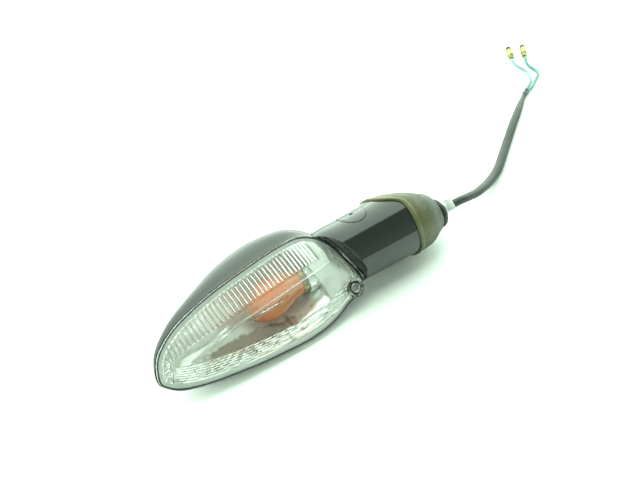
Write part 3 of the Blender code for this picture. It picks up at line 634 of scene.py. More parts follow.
class Surface:
    """A material's nodes, with object coordinates in metres."""

    def __init__(self, name, colour, roughness, metallic=0.0):
        self.material = bpy.data.materials.new(name)
        self.material.use_nodes = True
        self.tree = self.material.node_tree
        self.shader = self.tree.nodes["Principled BSDF"]
        for socket, value in (("Base Color", (*colour, 1)), ("Roughness", roughness), ("Metallic", metallic)):
            self.shader.inputs[socket].default_value = value
        self.coordinates = self.tree.nodes.new("ShaderNodeTexCoord").outputs["Object"]

    def put(self, socket, value):
        put(self.tree, socket, value)

    def texture(self, kind, vector=None, **values):
        """A node that reads the object's coordinates, or another vector."""
        node = self.tree.nodes.new("ShaderNode" + kind)
        self.put(node.inputs["Vector"], vector or self.coordinates)
        for name, value in values.items():
            node.inputs[name].default_value = value
        return node

    def stretched(self, scale):
        return self.texture("Mapping", Scale=scale).outputs["Vector"]

    def noise(self, scale, detail=4.0, vector=None):
        return self.texture("TexNoise", vector, Scale=scale, Detail=detail).outputs["Fac"]

    def spot(self, centre, radii):
        """The distance from a point, in radii along each axis."""
        node = self.texture("Mapping", Location=centre, Scale=radii)
        node.vector_type = "TEXTURE"
        length = self.tree.nodes.new("ShaderNodeVectorMath")
        length.operation = "LENGTH"
        self.put(length.inputs[0], node.outputs["Vector"])
        return length.outputs["Value"]

    def along_x(self):
        node = self.tree.nodes.new("ShaderNodeSeparateXYZ")
        self.put(node.inputs[0], self.coordinates)
        return node.outputs["X"]

    def cells(self, scale):
        return self.texture("TexVoronoi", Scale=scale).outputs["Distance"]

    def between(self, value, low, high, to_low=0.0, to_high=1.0):
        return map_range(self.tree, value, low, high, to_low, to_high).outputs["Result"]

    def maths(self, operation, a, b):
        return maths_node(self.tree, operation, a, b)

    def mix(self, share, a, b):
        node = self.tree.nodes.new("ShaderNodeMix")
        node.data_type = "RGBA"
        self.put(node.inputs["Factor"], share)
        for name, value in (("A", a), ("B", b)):
            socket = [s for s in node.inputs if s.name == name and s.type == "RGBA"][0]
            self.put(socket, value if isinstance(value, bpy.types.NodeSocket) else (*value, 1))
        return [s for s in node.outputs if s.type == "RGBA"][0]

    def colour(self, socket):
        self.put(self.shader.inputs["Base Color"], socket)

    def rough(self, socket):
        self.put(self.shader.inputs["Roughness"], socket)

    def bump(self, height, distance):
        """Relief of a depth in millimetres."""
        node = self.tree.nodes.new("ShaderNodeBump")
        self.put(node.inputs["Height"], height)
        node.inputs["Distance"].default_value = distance * MM
        self.put(self.shader.inputs["Normal"], node.outputs["Normal"])

    def glass(self, transmission, ior):
        self.shader.inputs["Transmission Weight"].default_value = transmission
        self.shader.inputs["IOR"].default_value = ior


def gloss_black():
    """Moulded gloss black with fine dust, faint scratches and a trace of orange peel."""
    black = (0.006, 0.007, 0.0065)
    look = Surface("gloss_black", black, 0.07)
    look.shader.inputs["Specular IOR Level"].default_value = 0.65
    dust = look.between(look.cells(900), 0.10, 0.04)
    patches = look.between(look.noise(70), 0.45, 0.65)
    specks = look.maths("MULTIPLY", dust, patches)
    look.colour(look.mix(look.maths("MULTIPLY", specks, 0.5), black, (0.10, 0.11, 0.10)))
    scratches = look.between(look.noise(260, 2, look.stretched((0.12, 1, 1))), 0.55, 0.75, 0.05, 0.16)
    look.rough(look.maths("ADD", scratches, look.maths("MULTIPLY", specks, 0.3)))
    look.bump(look.noise(320, 2), 0.012)
    return look.material


def clear_lens():
    """Clear polycarbonate with a trace of green and fine wear on its surface."""
    look = Surface("clear_lens", (0.985, 1.0, 0.985), 0.015)
    look.glass(1.0, 1.49)
    look.rough(look.between(look.noise(500, 3, look.stretched((0.3, 1, 1))), 0.6, 0.8, 0.01, 0.10))
    look.bump(look.noise(150, 2), 0.006)
    return look.material


def chrome():
    """Metallised reflector, a little hazy, with a painted brown reflection of the bulb in its lower half."""
    look = Surface("reflector_chrome", (0.88, 0.93, 0.89), 0.12, 0.42)
    haze = look.noise(90, 4)
    bright = look.mix(look.between(haze, 0.45, 0.75), (0.94, 0.97, 0.93), (0.78, 0.82, 0.76))
    # A brown patch low in the bowl, with a ragged edge, is a painted reflection of the bulb
    away = look.spot(head(*BULB_REFLECTION_PAINT_AT), BULB_REFLECTION_PAINT_RADII_M)
    edge = look.maths("ADD", away, look.between(look.noise(240, 4), 0.3, 0.7, -0.3, 0.3))
    look.colour(look.mix(look.between(edge, 1.1, 0.8), bright, (0.26, 0.17, 0.08)))
    look.rough(look.between(haze, 0.3, 0.7, 0.07, 0.22))
    look.bump(look.noise(60, 2), 0.05)
    return look.material


def orange_glass():
    """Orange glass, partly clear, with lengthwise streaks."""
    look = Surface("orange_glass", (1.0, 0.30, 0.02), 0.10)
    look.glass(0.3, 1.45)
    streaks = look.noise(180, 3, look.stretched((0.4, 1, 1)))
    look.colour(look.mix(look.between(streaks, 0.35, 0.7), (1.0, 0.20, 0.004), (1.0, 0.30, 0.015)))
    look.rough(look.between(streaks, 0.3, 0.7, 0.06, 0.2))
    return look.material


def terminal_brass():
    """Dull brass, dark at the open tips of the two terminals."""
    look = Surface("brass", (0.30, 0.26, 0.10), 0.3, 1.0)
    stain = look.noise(260, 5)
    tone = look.mix(look.between(stain, 0.42, 0.68), (0.36, 0.32, 0.12), (0.12, 0.11, 0.04))
    for end, direction in ((FEED_WIRE_END, FEED_DIRECTION), (GROUND_WIRE_END, GROUND_DIRECTION)):
        along = Vector((*direction, 0)).normalized()
        tip = table(*end, TERMINAL_RADIUS) + along * TERMINAL_LENGTH * MM
        away = look.spot(tip, (TERMINAL_DARK_M,) * 3)
        tone = look.mix(look.between(away, 1.1, 0.8), tone, (0.012, 0.011, 0.008))
    look.colour(tone)
    look.rough(look.between(stain, 0.3, 0.7, 0.25, 0.5))
    look.bump(look.noise(900, 3), 0.03)
    return look.material


def metal(name, colour, dark, roughness):
    """Bare metal with dark stains, brushed along x."""
    look = Surface(name, colour, roughness[0], 1.0)
    stain = look.noise(220, 5)
    look.colour(look.mix(look.between(stain, 0.48, 0.72), colour, dark))
    fine = look.noise(900, 3, look.stretched((0.15, 1, 1)))
    look.rough(look.between(look.maths("ADD", stain, fine), 0.7, 1.3, *roughness))
    look.bump(fine, 0.03)
    return look.material


def rubber(name, colours, roughness, grain, depth, far=None):
    """Rubber or plastic with a fine grain, bloom and scuffs, and, if given, a colour of painted shade at its
    far end.
    """
    look = Surface(name, colours[0], roughness[0])
    cloud = look.noise(45, 5)
    base = look.mix(look.between(cloud, 0.38, 0.62), colours[0], colours[1])
    if far:
        # The far colour, faded in along x, is painted shade on the boot's tapering shoulder
        base = look.mix(look.between(look.along_x(), *BOOT_PAINTED_SHADE_X_M), base, far)
    scuff = look.between(look.noise(420, 4), 0.60, 0.74)
    broken = look.maths("MULTIPLY", scuff, look.between(look.noise(110, 3), 0.42, 0.62))
    look.colour(look.mix(broken, base, colours[2]))
    look.rough(look.between(cloud, 0.35, 0.65, *roughness))
    look.bump(look.noise(grain, 3), depth)
    return look.material


def floor_paint():
    """The white table the lamp lies on."""
    look = Surface("floor_paint", (0.93, 0.95, 0.93), 0.6)
    look.colour(look.mix(look.noise(6, 3), (0.94, 0.95, 0.94), (0.91, 0.94, 0.92)))
    return look.material


SPECIAL_LOOKS = (gloss_black, clear_lens, chrome, orange_glass, terminal_brass, floor_paint)
RUBBERS = (
    # name, (colour, second colour, scuffs), roughness, grain, relief and, on one, the colour of painted shade
    # at its far end
    ("black_rubber", ((0.012,) * 3, (0.02,) * 3, (0.06,) * 3), (0.55, 0.7), 900, 0.03),
    (
        "olive_rubber", ((0.090, 0.086, 0.026), (0.055, 0.060, 0.022), (0.18, 0.18, 0.09)),
        (0.42, 0.62), 700, 0.06, (0.019, 0.027, 0.014),
    ),
    (
        "sheath_vinyl", ((0.010, 0.015, 0.012), (0.018, 0.024, 0.020), (0.07, 0.09, 0.08)),
        (0.48, 0.62), 500, 0.04,
    ),
    ("blue_insulation", ((0.15, 0.27, 0.29), (0.20, 0.32, 0.33), (0.09, 0.17, 0.19)), (0.3, 0.45), 500, 0.03),
    (
        "green_insulation", ((0.04, 0.20, 0.155), (0.06, 0.24, 0.19), (0.02, 0.12, 0.10)),
        (0.3, 0.45), 500, 0.03,
    ),
    ("phenolic", ((0.16, 0.08, 0.04), (0.22, 0.12, 0.06), (0.30, 0.18, 0.10)), (0.5, 0.65), 800, 0.05),
)


def make_materials():
    zinc = metal("zinc", (0.80, 0.84, 0.81), (0.50, 0.53, 0.49), (0.20, 0.42))
    steel = metal("spring_steel", (0.36, 0.37, 0.36), (0.14, 0.15, 0.14), (0.25, 0.40))
    rubbers = [rubber(*row) for row in RUBBERS]
    special = [build() for build in SPECIAL_LOOKS]
    return {material.name.split(".")[0]: material for material in [zinc, steel] + rubbers + special}


# Camera, light and floor ------------

def make_camera():
    data = bpy.data.cameras.new("camera")
    data.lens = CAMERA_LENS
    data.sensor_width = CAMERA_SENSOR
    camera = add_object("camera", data)
    camera.location = place(*CAMERA_AT)
    aim = place(*CAMERA_AIM)
    camera.rotation_euler = (aim - camera.location).to_track_quat("-Z", "Y").to_euler()
    bpy.context.scene.camera = camera


def make_light():
    """A white room: bright behind the object, less so overhead, and dim where the viewer stands."""
    world = bpy.data.worlds.new("room")
    bpy.context.scene.world = world
    world.use_nodes = True
    tree = world.node_tree
    parts = tree.nodes.new("ShaderNodeSeparateXYZ")
    tree.links.new(tree.nodes.new("ShaderNodeTexCoord").outputs["Generated"], parts.inputs[0])
    side = maths_node(tree, "MULTIPLY_ADD", parts.outputs["Z"], ROOM_TILT, parts.outputs["Y"])
    step = map_range(tree, side, *ROOM_EDGE)
    step.interpolation_type = "SMOOTHSTEP"
    height = map_range(tree, parts.outputs["Z"], *ROOM_HEIGHT)
    strength = maths_node(tree, "MULTIPLY", step.outputs["Result"], height.outputs["Result"])
    back = tree.nodes["Background"]
    back.inputs["Color"].default_value = ROOM_COLOUR
    tree.links.new(strength, back.inputs["Strength"])
    bpy.context.scene.view_settings.view_transform = "Standard"


def make_floor():
    mesh = bmesh.new()
    bmesh.ops.create_grid(mesh, x_segments=8, y_segments=8, size=FLOOR_HALF_M)
    data = bpy.data.meshes.new("floor")
    mesh.to_mesh(data)
    mesh.free()
    data.materials.append(MATERIALS["floor_paint"])
    floor = add_object("floor", data)
    floor.location.z = -FLOOR_DROP_M


# Lead ------------

def hose(name, centres, halves, material, steps, wall=0.0):
    """A tube along the centres, with its half width and half height at each. A wall opens its far end."""
    rings = []
    count = len(centres)
    order = list(range(count))
    if wall:
        order += range(count - 1, count - 1 - OPEN_RINGS, -1)
    for k, i in enumerate(order):
        ahead = (centres[min(i + 1, count - 1)] - centres[max(i - 1, 0)]).normalized()
        side = ahead.cross(UP).normalized()
        up = side.cross(ahead)
        a, b = (half - (wall if k >= count else 0.0) for half in halves[i])
        ways = [side * a * math.cos(t) + up * b * math.sin(t) for t in full_turn(steps)]
        rings.append([centres[i] + way * MM for way in ways])
    return skin(name, rings, material, sharp=SOFT_SHARP)


def make_sheath():
    route = smooth_path(SHEATH_ROUTE, SHEATH_SPACING)
    length = path_length(route)
    centres = []
    halves = []
    gone = 0.0
    for i, (x, y, height) in enumerate(route):
        gone += math.dist(route[i - 1], route[i]) if i else 0
        a, b = curve_at(SHEATH_WIDTHS, length - gone)
        lying = ease(height, *SHEATH_LYING)
        centres.append(table(x, y, height - (SHEATH_RADIUS - b) * lying))
        halves.append((a, b))
    sheath = hose("lead_sheath", centres, halves, "sheath_vinyl", 32, wall=SHEATH_WALL)
    stand_for(sheath, "cable_sheath")
    return centres[-1]


def make_wire(name, route, node):
    centres = [table(*at) for at in smooth_path(route, WIRE_SPACING)]
    wire = hose(name, centres, [(WIRE_RADIUS, WIRE_RADIUS)] * len(centres), SLOT_OF[node], 20)
    stand_for(wire, node)


def crimp_rings(start_at, along):
    """A sleeve folded round the wire, whose two wings meet in a seam on top and press into it."""
    side = along.cross(UP).normalized()
    outline = []
    first, sweep = CRIMP_SWEEP
    turns = [math.radians(first + sweep * i / CRIMP_STEPS) for i in range(CRIMP_STEPS + 1)]
    outer, inner = CRIMP_RADII
    for radius, way_round in ((outer, turns), (inner, turns[::-1])):
        for turn in way_round:
            from_seam = abs(math.sin((turn - math.radians(90)) / 2))
            r = radius - CRIMP_FOLD * ease(from_seam, CRIMP_FOLD_WIDTH, 0.0)
            outline.append((r * math.cos(turn), r * math.sin(turn)))
    rings = []
    for share, grow in CRIMP_RINGS:
        centre = start_at + along * CRIMP_LENGTH * share * MM
        rings.append([centre + (side * a + UP * b) * grow * MM for a, b in outline])
    return rings


def make_terminal(name, node, wire_end, direction):
    """A bullet terminal: crimped wings on the wire, a waist, and an open split barrel."""
    r = TERMINAL_RADIUS
    length = TERMINAL_LENGTH
    bore_radius, depth = TERMINAL_BORE
    along = Vector((*direction, 0)).normalized()
    start_at = table(*wire_end, r + TERMINAL_LIFT) + along * TERMINAL_START * MM
    inside = [(0, length - depth), (bore_radius, length - depth), (bore_radius, length)]
    outside = [(bore_radius, length), (r - 0.1, length), (r, length - 1.2), (r, 14.6), (r - 0.25, 14.3)]
    outside += [(r - 0.25, 13.7), (r, 13.4), (r, 9.2), (1.55, 8.0), (1.5, 6.4), (1.9, 5.6), (1.9, 4.6)]
    outside += [(0, 4.6)]
    barrel = inside + rounded(outside, 0.25)[1:]
    terminal = lathe(name, barrel, start_at, along, "brass", steps=48)
    crimp = skin("crimp", crimp_rings(start_at - along * CRIMP_BACK * MM, along))
    combine(terminal, crimp, "UNION")
    seam = start_at + along * SEAM_AT * MM + UP * r * MM
    cut(terminal, block(SEAM_SIZE, seam, along, UP))
    stand_for(terminal, node)
    return terminal


def make_lead():
    sheath_end = make_sheath()
    feed = make_terminal("bullet_feed", "terminal_feed", FEED_WIRE_END, FEED_DIRECTION)
    ground = make_terminal("bullet_ground", "terminal_ground", GROUND_WIRE_END, GROUND_DIRECTION)
    make_wire("lead_wire_feed", FEED_ROUTE, "wire_feed")
    make_wire("lead_wire_ground", GROUND_ROUTE, "wire_ground")


# Lamp head ------------

def rim(distance):
    """The rim's outline, moved inwards."""
    return inset(smooth_loop(RIM_OUTLINE, RIM_SEGMENTS), distance)


def flat_ring(loop, n):
    return [head(x, v, n) for x, v in loop]


def bowl_rings(loop, base_n, depth, angles=BOWL_ANGLES):
    """Rings of a bowl that leaves the loop along the bowl's direction and closes over its spine."""
    (x0, v0), (x1, v1) = BOWL_SPINE
    rings = []
    for angle in angles:
        turn = math.radians(angle)
        narrow = math.cos(turn) ** BOWL_ROUNDNESS
        deep = math.sin(turn) ** BOWL_ROUNDNESS
        sink = math.sin(turn) ** 3
        away = BOWL_DIRECTION[0] * depth * deep * MM
        down = BOWL_DIRECTION[1] * depth * sink * MM
        ring = []
        for x, v in loop:
            sx = max(x0, min(x1, x))
            sv = v0 + (v1 - v0) * (sx - x0) / (x1 - x0)
            px = sx + (x - sx) * narrow
            reach, dip = curve_at(BOWL_REACH, px)
            ring.append(head(px, sv + (v - sv) * narrow, base_n) + Vector((0, away * reach, down * dip)))
        rings.append(ring)
    return rings


def head_volume(grow):
    """The head's outer volume, with a prism in front of the rim."""
    loop = rim(-grow)
    front = [flat_ring(loop, n) for n in (PRISM_TOP, RIM_N + 1)]
    return skin("cutter", front + bowl_rings(loop, RIM_N, BOWL_DEPTH + grow))


def cut_arm_holes(thing, x, length):
    for yz in ARM_SCREW_YZ:
        cut(thing, bore(ARM_HOLE_RADIUS, x, yz, length))


def make_head_shell():
    outer = bowl_rings(rim(0), RIM_N, BOWL_DEPTH, BOWL_ANGLES[1:])
    inner = bowl_rings(rim(HOUSING_WALL), RIM_N, BOWL_DEPTH - HOUSING_WALL)
    lip = [flat_ring(rim(distance), RIM_N - fall) for distance, fall in HOUSING_LIP]
    shell = skin("head_shell", outer[::-1] + lip + inner, "gloss_black", sharp=BOWL_SHARP)
    room = skin("cutter", bowl_rings(rim(PILLAR_INSET), RIM_N, BOWL_DEPTH - PILLAR_INSET))
    pillar = screw_rod(PILLAR_RADIUS, -PILLAR_LENGTH, PILLAR_LENGTH + RIM_N - GAP)
    for yz in ARM_SCREW_YZ:
        combine(pillar, bore(ARM_BOSS_RADIUS, ARM_BOSS_FACE, yz, ARM_BOSS_LENGTH), "UNION")
    combine(pillar, room, "INTERSECT")
    combine(shell, pillar, "UNION")
    cut_arm_holes(shell, *ARM_HOLE_HEAD)
    cut(shell, bore(WIRE_WAY_RADIUS, WIRE_WAY_X, WIRE_WAY_YZ, WIRE_WAY_LENGTHS[0]))
    cut(shell, screw_rod(SCREW_RADIUS + GAP, SCREW_HOLE_FROM), BOWL_SHARP)
    stand_for(shell, "head_housing")


def make_reflector():
    knee = REFLECTOR_SHORTEN_FROM
    mouth = [(min(x, knee) + max(0, x - knee) * REFLECTOR_SHORTEN, v) for x, v in rim(REFLECTOR_BOWL_INSET)]
    back = inset(mouth, -REFLECTOR_WALL)
    low, high = REFLECTOR_N
    outer = bowl_rings(back, low, REFLECTOR_DEPTH + REFLECTOR_WALL)
    inner = bowl_rings(mouth, high, REFLECTOR_DEPTH)
    flange = [flat_ring(rim(REFLECTOR_FLANGE_INSET), n) for n in REFLECTOR_N]
    bright = skin("bright_bowl", outer[::-1] + flange + inner, "reflector_chrome", sharp=BOWL_SHARP)
    cut(bright, screw_rod(*REFLECTOR_SCREW_HOLE))
    x, length = SLEEVE_WAY
    cut(bright, bore(SLEEVE_RADIUS + SLEEVE_GAP, x, BULB_YZ, length, steps=64), BOWL_SHARP)
    stand_for(bright, "reflector")


def make_gasket():
    profile = rounded_box(*GASKET_INSETS, *GASKET_N, SEAL_ROUND)
    rings = [flat_ring(rim(distance), n) for distance, n in profile]
    stand_for(skin("gasket_ring", rings, "black_rubber", wrap=True), "lens_gasket")


def soft_min(a, b, size):
    h = max(size - abs(a - b), 0.0) / size
    return min(a, b) - h * h * size / 4


class LensColumn:
    """One line of the lens, from its flange at share 0 to its ridge at share 1."""

    def __init__(self, x, v, rib_turns):
        self.x = x
        self.v = v
        self.rib_turns = rib_turns
        self.rx = max(LENS_RIDGE[0][0], min(LENS_RIDGE[-1][0], x))
        self.rv, self.rn = curve_at(LENS_RIDGE, x)
        self.length = math.hypot(self.rx - x, self.rv - v)
        self.lower = ease((v - self.rv) / self.length, *LOWER_RISE)
        self.end = ease((x - self.rx) / self.length, *END_LEAN)
        self.tip = ease((self.rx - x) / self.length, *END_LEAN)
        width, self.drop = curve_at(LENS_STEP, x)
        self.step = 1 - min(width / self.length, STEP_LIMIT)

    def place_at(self, share):
        return self.x + (self.rx - self.x) * share, self.v + (self.rv - self.v) * share

    def height(self, share):
        """The outer surface."""
        base = LENS_N[1]
        upper_bulge, lower_bulge = LENS_BULGES
        upper = base + (self.rn - base) * share ** upper_bulge
        knee = self.rn - self.drop
        if share < self.step:
            lower = base + (knee - base) * (share / self.step) ** lower_bulge
        else:
            lower = knee + (self.rn - knee) * (share - self.step) / (1 - self.step)
        n = upper + (lower - upper) * self.lower
        x, v = self.place_at(share)
        x0, v0, top = LENS_END_TOP
        beyond = (x - x0) * LENS_END_NORMAL[0] + (v - v0) * LENS_END_NORMAL[1]
        return soft_min(n, top - LENS_END_SLOPE * beyond, LENS_CREASE)

    def ribs(self, share):
        """How far the ribs, the ridges and the bullseye take the inner surface towards the outer one."""
        started = ease(share, *RIB_START)
        upper = (1 - self.lower) * (1 - self.end) * started
        upper *= ease(share, *RIB_STOP)
        tip = self.tip * started * ease(share, *TIP_RIB_END) * ease(self.v, *TIP_RIB_V)
        ribbed = max(upper, tip) * ease(self.x, RIB_END_X + 2, RIB_END_X)
        depth = RIB_DEPTH * ribbed * abs(math.sin(math.pi * self.rib_turns))
        gone = share * self.length
        low, high = RIDGE_BAND
        band = ease(gone, low - RIDGE_FADE, low) * ease(gone, high + RIDGE_FADE, high)
        band *= max(self.lower * ease(self.x, *RIDGE_START_X), self.end)
        depth += RIDGE_DEPTH * band * abs(math.sin(math.pi * (gone - low) / RIDGE_PITCH))
        x, v = self.place_at(share)
        x0, v0, reach = BULLSEYE
        away = math.hypot(x - x0, v - v0)
        if away < reach:
            depth += BULLSEYE_DEPTH * (1 - away / reach) * (1 - math.cos(math.tau * away / BULLSEYE_PITCH))
        return depth

    def inside(self, share):
        floor, top = LENS_N
        thin = LENS_WALL + (top - floor - LENS_WALL) * ease(share, 0.03, 0.0)
        return max(self.height(share) - thin + self.ribs(share), floor)


def lens_columns():
    """Columns all round the rim, from the tip over the upper side, close together where the ribs are."""
    outer = smooth_loop(RIM_OUTLINE, LENS_LOOP)
    flange = inset(outer, LENS_FLANGE)
    spacing = path_length(outer) / (LENS_LOOP - 1)
    first, last = RIB_PITCH
    columns = []
    edges = []
    turns = 0.0
    i = 0
    while i < LENS_LOOP:
        x, v = flange[i]
        column = LensColumn(x, v, turns)
        columns.append(column)
        edges.append(outer[i])
        ribbed = column.lower < 0.6 and x < RIB_END_X + 3
        step = 1 if ribbed or x < TIP_X else 2 if column.lower < 0.9 else 4
        turns += step * spacing / (first + (last - first) * ease(x, *RIB_PITCH_X))
        i += step
    return columns, edges


def lens_rings():
    """Rings of the cover: up its inside to the flange, round the flange's edge and up the outside."""
    columns, edges = lens_columns()
    low, high = LENS_N
    steps = [LENS_TOP_SHARE * i / (2 * LENS_SHARES) for i in range(2 * LENS_SHARES + 1)]
    at = [[column.place_at(share) for column in columns] for share in steps]

    def ring(k, heights):
        return [head(x, v, n) for (x, v), n in zip(at[k], heights)]

    inside = [ring(k, [c.inside(steps[k]) for c in columns]) for k in range(len(steps) - 1, 0, -1)]
    outside = [ring(k, [c.height(steps[k]) for c in columns]) for k in range(0, len(steps), 2)]
    edge, near, far = (inset(edges, distance) for distance in LENS_EDGE_INSETS)
    flange = [flat_ring([(c.x, c.v) for c in columns], low), flat_ring(near, low), flat_ring(edge, low + 0.2)]
    flange += [flat_ring(edge, high - 0.45), flat_ring(near, high - 0.15), flat_ring(far, high)]
    return inside + flange + outside


def make_lens():
    lens = skin("lens_cover", lens_rings(), "clear_lens", sharp=LENS_SHARP, key=lambda co: co.x)
    radius, top = LENS_BOSS
    low = LENS_N[0]
    boss = rounded([(0, low), (radius, low), (radius, top), (0, top)], LENS_BOSS_ROUND)
    combine(lens, lathe("boss", boss, head(*SCREW_AT, 0), head_normal()), "UNION", sharp=LENS_SHARP)
    cut(lens, screw_rod(*LENS_RECESS, steps=64), LENS_SHARP)
    cut(lens, screw_rod(SCREW_RADIUS + GAP, 0), LENS_SHARP)
    stand_for(lens, "lens")


def make_lens_screw():
    normal = head_normal()
    bottom = SCREW_SEAT - GAP - SEAL_THICKNESS
    washer = rounded_box(*SEAL_RADII, SEAL_THICKNESS, 0, SEAL_ROUND)
    seal = lathe("screw_seal", washer, head(*SCREW_AT, bottom), normal, "black_rubber", ring=True)
    stand_for(seal, "lens_screw_washer")
    radius, edge, rise = SCREW_HEAD
    shank = SCREW_RADIUS
    angles = [math.radians(a) for a in range(90, -1, -10)]
    profile = [(radius * math.cos(a), edge + rise * math.sin(a)) for a in angles]
    profile += [(radius, 0.15), (radius - 0.15, 0), (shank, 0)]
    profile += [(shank, 1.5 - SCREW_LENGTH), (0, -SCREW_LENGTH)]
    screw = lathe("cross_screw", profile, head(*SCREW_AT, SCREW_SEAT), normal, "spring_steel")
    across = head(1, 0, 0) - head(0, 0, 0)
    along = head(0, 1, 0) - head(0, 0, 0)
    slot_at = head(*SCREW_AT, SCREW_SEAT + SLOT_HEIGHT)
    for side in (across + along * SLOT_TURN, along - across * SLOT_TURN):
        cut(screw, block(SLOT_SIZE, slot_at, side, normal))
    stand_for(screw, "lens_screw")


def make_bulb():
    length = BULB_LENGTH
    r = BULB_RADIUS
    outline = [(0, length), (3.2, length - 0.35), (6.2, length - 1.6), (8.8, length - 3.8)]
    outline += [(10.6, length - 6.8), (11.4, length - 9.8), (r, length - 12.5), (r - 0.1, length - 15)]
    outline += [(r - 0.6, length - 18), (r - 1.4, length - 21), (r - 2.5, length - 24)]
    outline += [(8.2, 7), (7.4, 4.5), (7.0, 2.5), (BULB_NECK_RADIUS, 0)]
    wall = BULB_WALL
    inside = [(max(0, radius - wall), along - wall * max(0, 1 - radius / r)) for radius, along in outline]
    inside[-1] = (BULB_NECK_RADIUS - wall, 0)
    neck = place(BULB_NECK, *BULB_YZ)
    glass = lathe("bulb_envelope", outline + inside[::-1], neck, (-1, 0, 0), "orange_glass", ring=True)
    stand_for(glass, "bulb_glass")


# Stalk, boot and mounting hardware ------------

def stalk_ring(x0, offset, radius, share):
    """A ring about the stalk's axis, or moved towards the stem, that takes a share of the boot's edge."""
    reach = math.hypot(*STEM_YZ)
    cy = STEM_YZ[0] / reach * offset
    cz = STEM_YZ[1] / reach * offset
    ring = []
    for turn in full_turn(TURN_SEGMENTS):
        wrap = curve_at(EDGE, math.degrees(turn))[0]
        ring.append(around(x0 + share * wrap, cy, cz, radius, turn))
    return ring


def plug_way(distance):
    """A point on the plug's axis, out from the stalk's."""
    return around(PLUG_X, 0, 0, distance, PLUG_ANGLE)


def plug_rod(radius, start, length, steps=48):
    return rod(radius, plug_way(start), plug_way(1) - plug_way(0), length, steps)


def between_rows(rows, count):
    """Rows at even steps of x on a smooth curve through the rows."""
    x0, x1 = rows[0][0], rows[-1][0]
    steps = [x0 + (x1 - x0) * i / count for i in range(count + 1)]
    return [(x, *curve_at(rows, x)) for x in steps]


def make_stalk():
    rows = between_rows(STALK_OUTSIDE, OUTSIDE_ROWS) + list(STALK_END)
    stalk = skin("stalk_arm", [stalk_ring(*row) for row in rows], "gloss_black")
    cut(stalk, head_volume(HEAD_GAP))
    cut(stalk, bore(STEM_RADII[0] + GAP, STEM_X[0] - GAP, STEM_YZ, STEM_WAY_LENGTH))
    cut(stalk, bore(WIRE_WAY_RADIUS + 1, WIRE_WAY_X, WIRE_WAY_YZ, WIRE_WAY_LENGTHS[1]))
    cut_arm_holes(stalk, *ARM_HOLE_STALK)
    cut(stalk, plug_rod(PLUG_RADIUS + GAP, PLUG_SEAT - GAP, PLUG_LENGTH, steps=96))
    cut(stalk, plug_rod(*LOCK_SCREW_WAY))
    stand_for(stalk, "stalk")


def make_plug():
    plug = plug_rod(PLUG_RADIUS, PLUG_SEAT, PLUG_LENGTH, steps=96)
    plug.name = "access_plug"
    plug.data.materials.append(MATERIALS["gloss_black"])
    rows = between_rows(STALK_OUTSIDE, OUTSIDE_ROWS)
    skin_rings = [stalk_ring(x, offset, radius + PLUG_PROUD, share) for x, offset, radius, share in rows]
    combine(plug, skin("cutter", skin_rings), "INTERSECT")
    cut(plug, lathe("cutter", PLUG_DIMPLE, plug_way(PLUG_DIMPLE_AT), plug_way(1) - plug_way(0)))
    bevel(plug, PLUG_BEVEL)
    stand_for(plug, "stalk_plug")


def make_boot():
    rows = list(BOOT_LIP) + between_rows(BOOT_OUTSIDE, BOOT_ROWS) + list(BOOT_HUB)
    rings = [stalk_ring(*row) for row in rows]
    stand_for(skin("rubber_boot", rings, "olive_rubber", wrap=True, sharp=SOFT_SHARP), "boot")


def thread_ring(x, radius, depth):
    """A ring of an outside thread, which is plain where the depth is 0."""
    points = []
    for i, turn in enumerate(full_turn(THREAD_STEPS)):
        phase = (x / THREAD_PITCH - i / THREAD_STEPS) % 1
        r = radius - depth * ease(abs(2 * phase - 1), 0.15, 0.85)
        points.append(around(x, *STEM_YZ, r, turn))
    return points


def plain_ring(x, radius):
    return thread_ring(x, radius, 0)


def thread_rings(x0, x1, radius, depth):
    count = round((x1 - x0) / (THREAD_PITCH / 8))
    return [thread_ring(x0 + (x1 - x0) * i / count, radius, depth) for i in range(count + 1)]


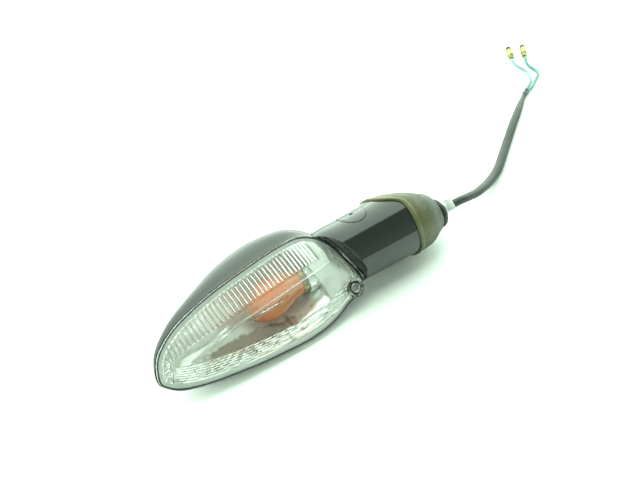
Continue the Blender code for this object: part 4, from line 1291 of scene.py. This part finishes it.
def make_stem():
    x0, x1 = STEM_X
    outer, inner = STEM_RADII
    f0, f1, flange = STEM_FLANGE
    rings = [plain_ring(x0, inner), plain_ring(x0, outer), plain_ring(f0, outer), plain_ring(f0, flange)]
    rings += [plain_ring(f1, flange), plain_ring(f1, outer), plain_ring(THREAD_FROM - 0.6, outer)]
    rings += thread_rings(THREAD_FROM, x1 - STEM_CHAMFER, outer, THREAD_DEPTH)
    rings += [thread_ring(x1 - STEM_CHAMFER / 2, outer - 0.3, THREAD_DEPTH - 0.3)]
    rings += [plain_ring(x1, outer - THREAD_DEPTH), plain_ring(x1, inner + STEM_BORE_CHAMFER)]
    rings += [plain_ring(x1 - STEM_BORE_CHAMFER, inner)]
    stand_for(skin("threaded_stem", rings, "zinc", wrap=True), "stem")


def make_washer(name, node, size, split=False):
    x0, x1, radius = size
    profile = rounded_box(radius, WASHER_HOLE, x1 - x0, 0, WASHER_ROUND)
    washer = lathe(name, profile, place(x0, *STEM_YZ), ALONG_X, "zinc", steps=96, ring=True)
    if split:
        split_at = place((x0 + x1) / 2, STEM_YZ[0] + SPLIT_YZ[0], STEM_YZ[1] + SPLIT_YZ[1])
        cut(washer, block(SPLIT_SIZE, split_at, *SPLIT_SIDES))
    stand_for(washer, node)


def make_nut():
    x0, x1 = NUT_X
    h = x1 - x0
    flats = NUT_ACROSS_FLATS / 2
    corner = flats / math.cos(math.radians(30))
    profile = [(flats - 0.2, h), (corner + 0.3, h - 0.9), (corner + 0.3, 0.9), (flats - 0.2, 0)]
    profile += [(NUT_BORE + 0.5, 0), (NUT_BORE, 0.5), (NUT_BORE, h - 0.5), (NUT_BORE + 0.5, h)]
    nut = lathe("hex_nut", profile, place(x0, *STEM_YZ), ALONG_X, "zinc", steps=96, ring=True)
    turns = [math.tau * (i + 0.5) / 6 for i in range(6)]
    hexagon = [[around(x, *STEM_YZ, corner, turn) for turn in turns] for x in (x0 - 1, x1 + 1)]
    combine(nut, skin("cutter", hexagon), "INTERSECT")
    bevel(nut, NUT_BEVEL, angle=40)
    stand_for(nut, "mount_nut")


# Everything ------------

def dress_cad_nodes():
    """Give each CAD node that still shows the material of its slot."""
    for name, thing in frame["nodes"].items():
        if thing.hide_render:
            continue
        for slot in thing.material_slots:
            slot.material = MATERIALS[SLOT_OF[name]]


MATERIALS = make_materials()
make_camera()
make_lead()
make_light()
make_floor()
make_head_shell()
make_reflector()
make_gasket()
make_bulb()
make_lens()
make_lens_screw()
make_stalk()
make_plug()
make_boot()
make_stem()
make_washer("plain_washer", "washer_flat", FLAT_WASHER)
make_washer("split_washer", "washer_spring", SPRING_WASHER, split=True)
make_nut()
dress_cad_nodes()
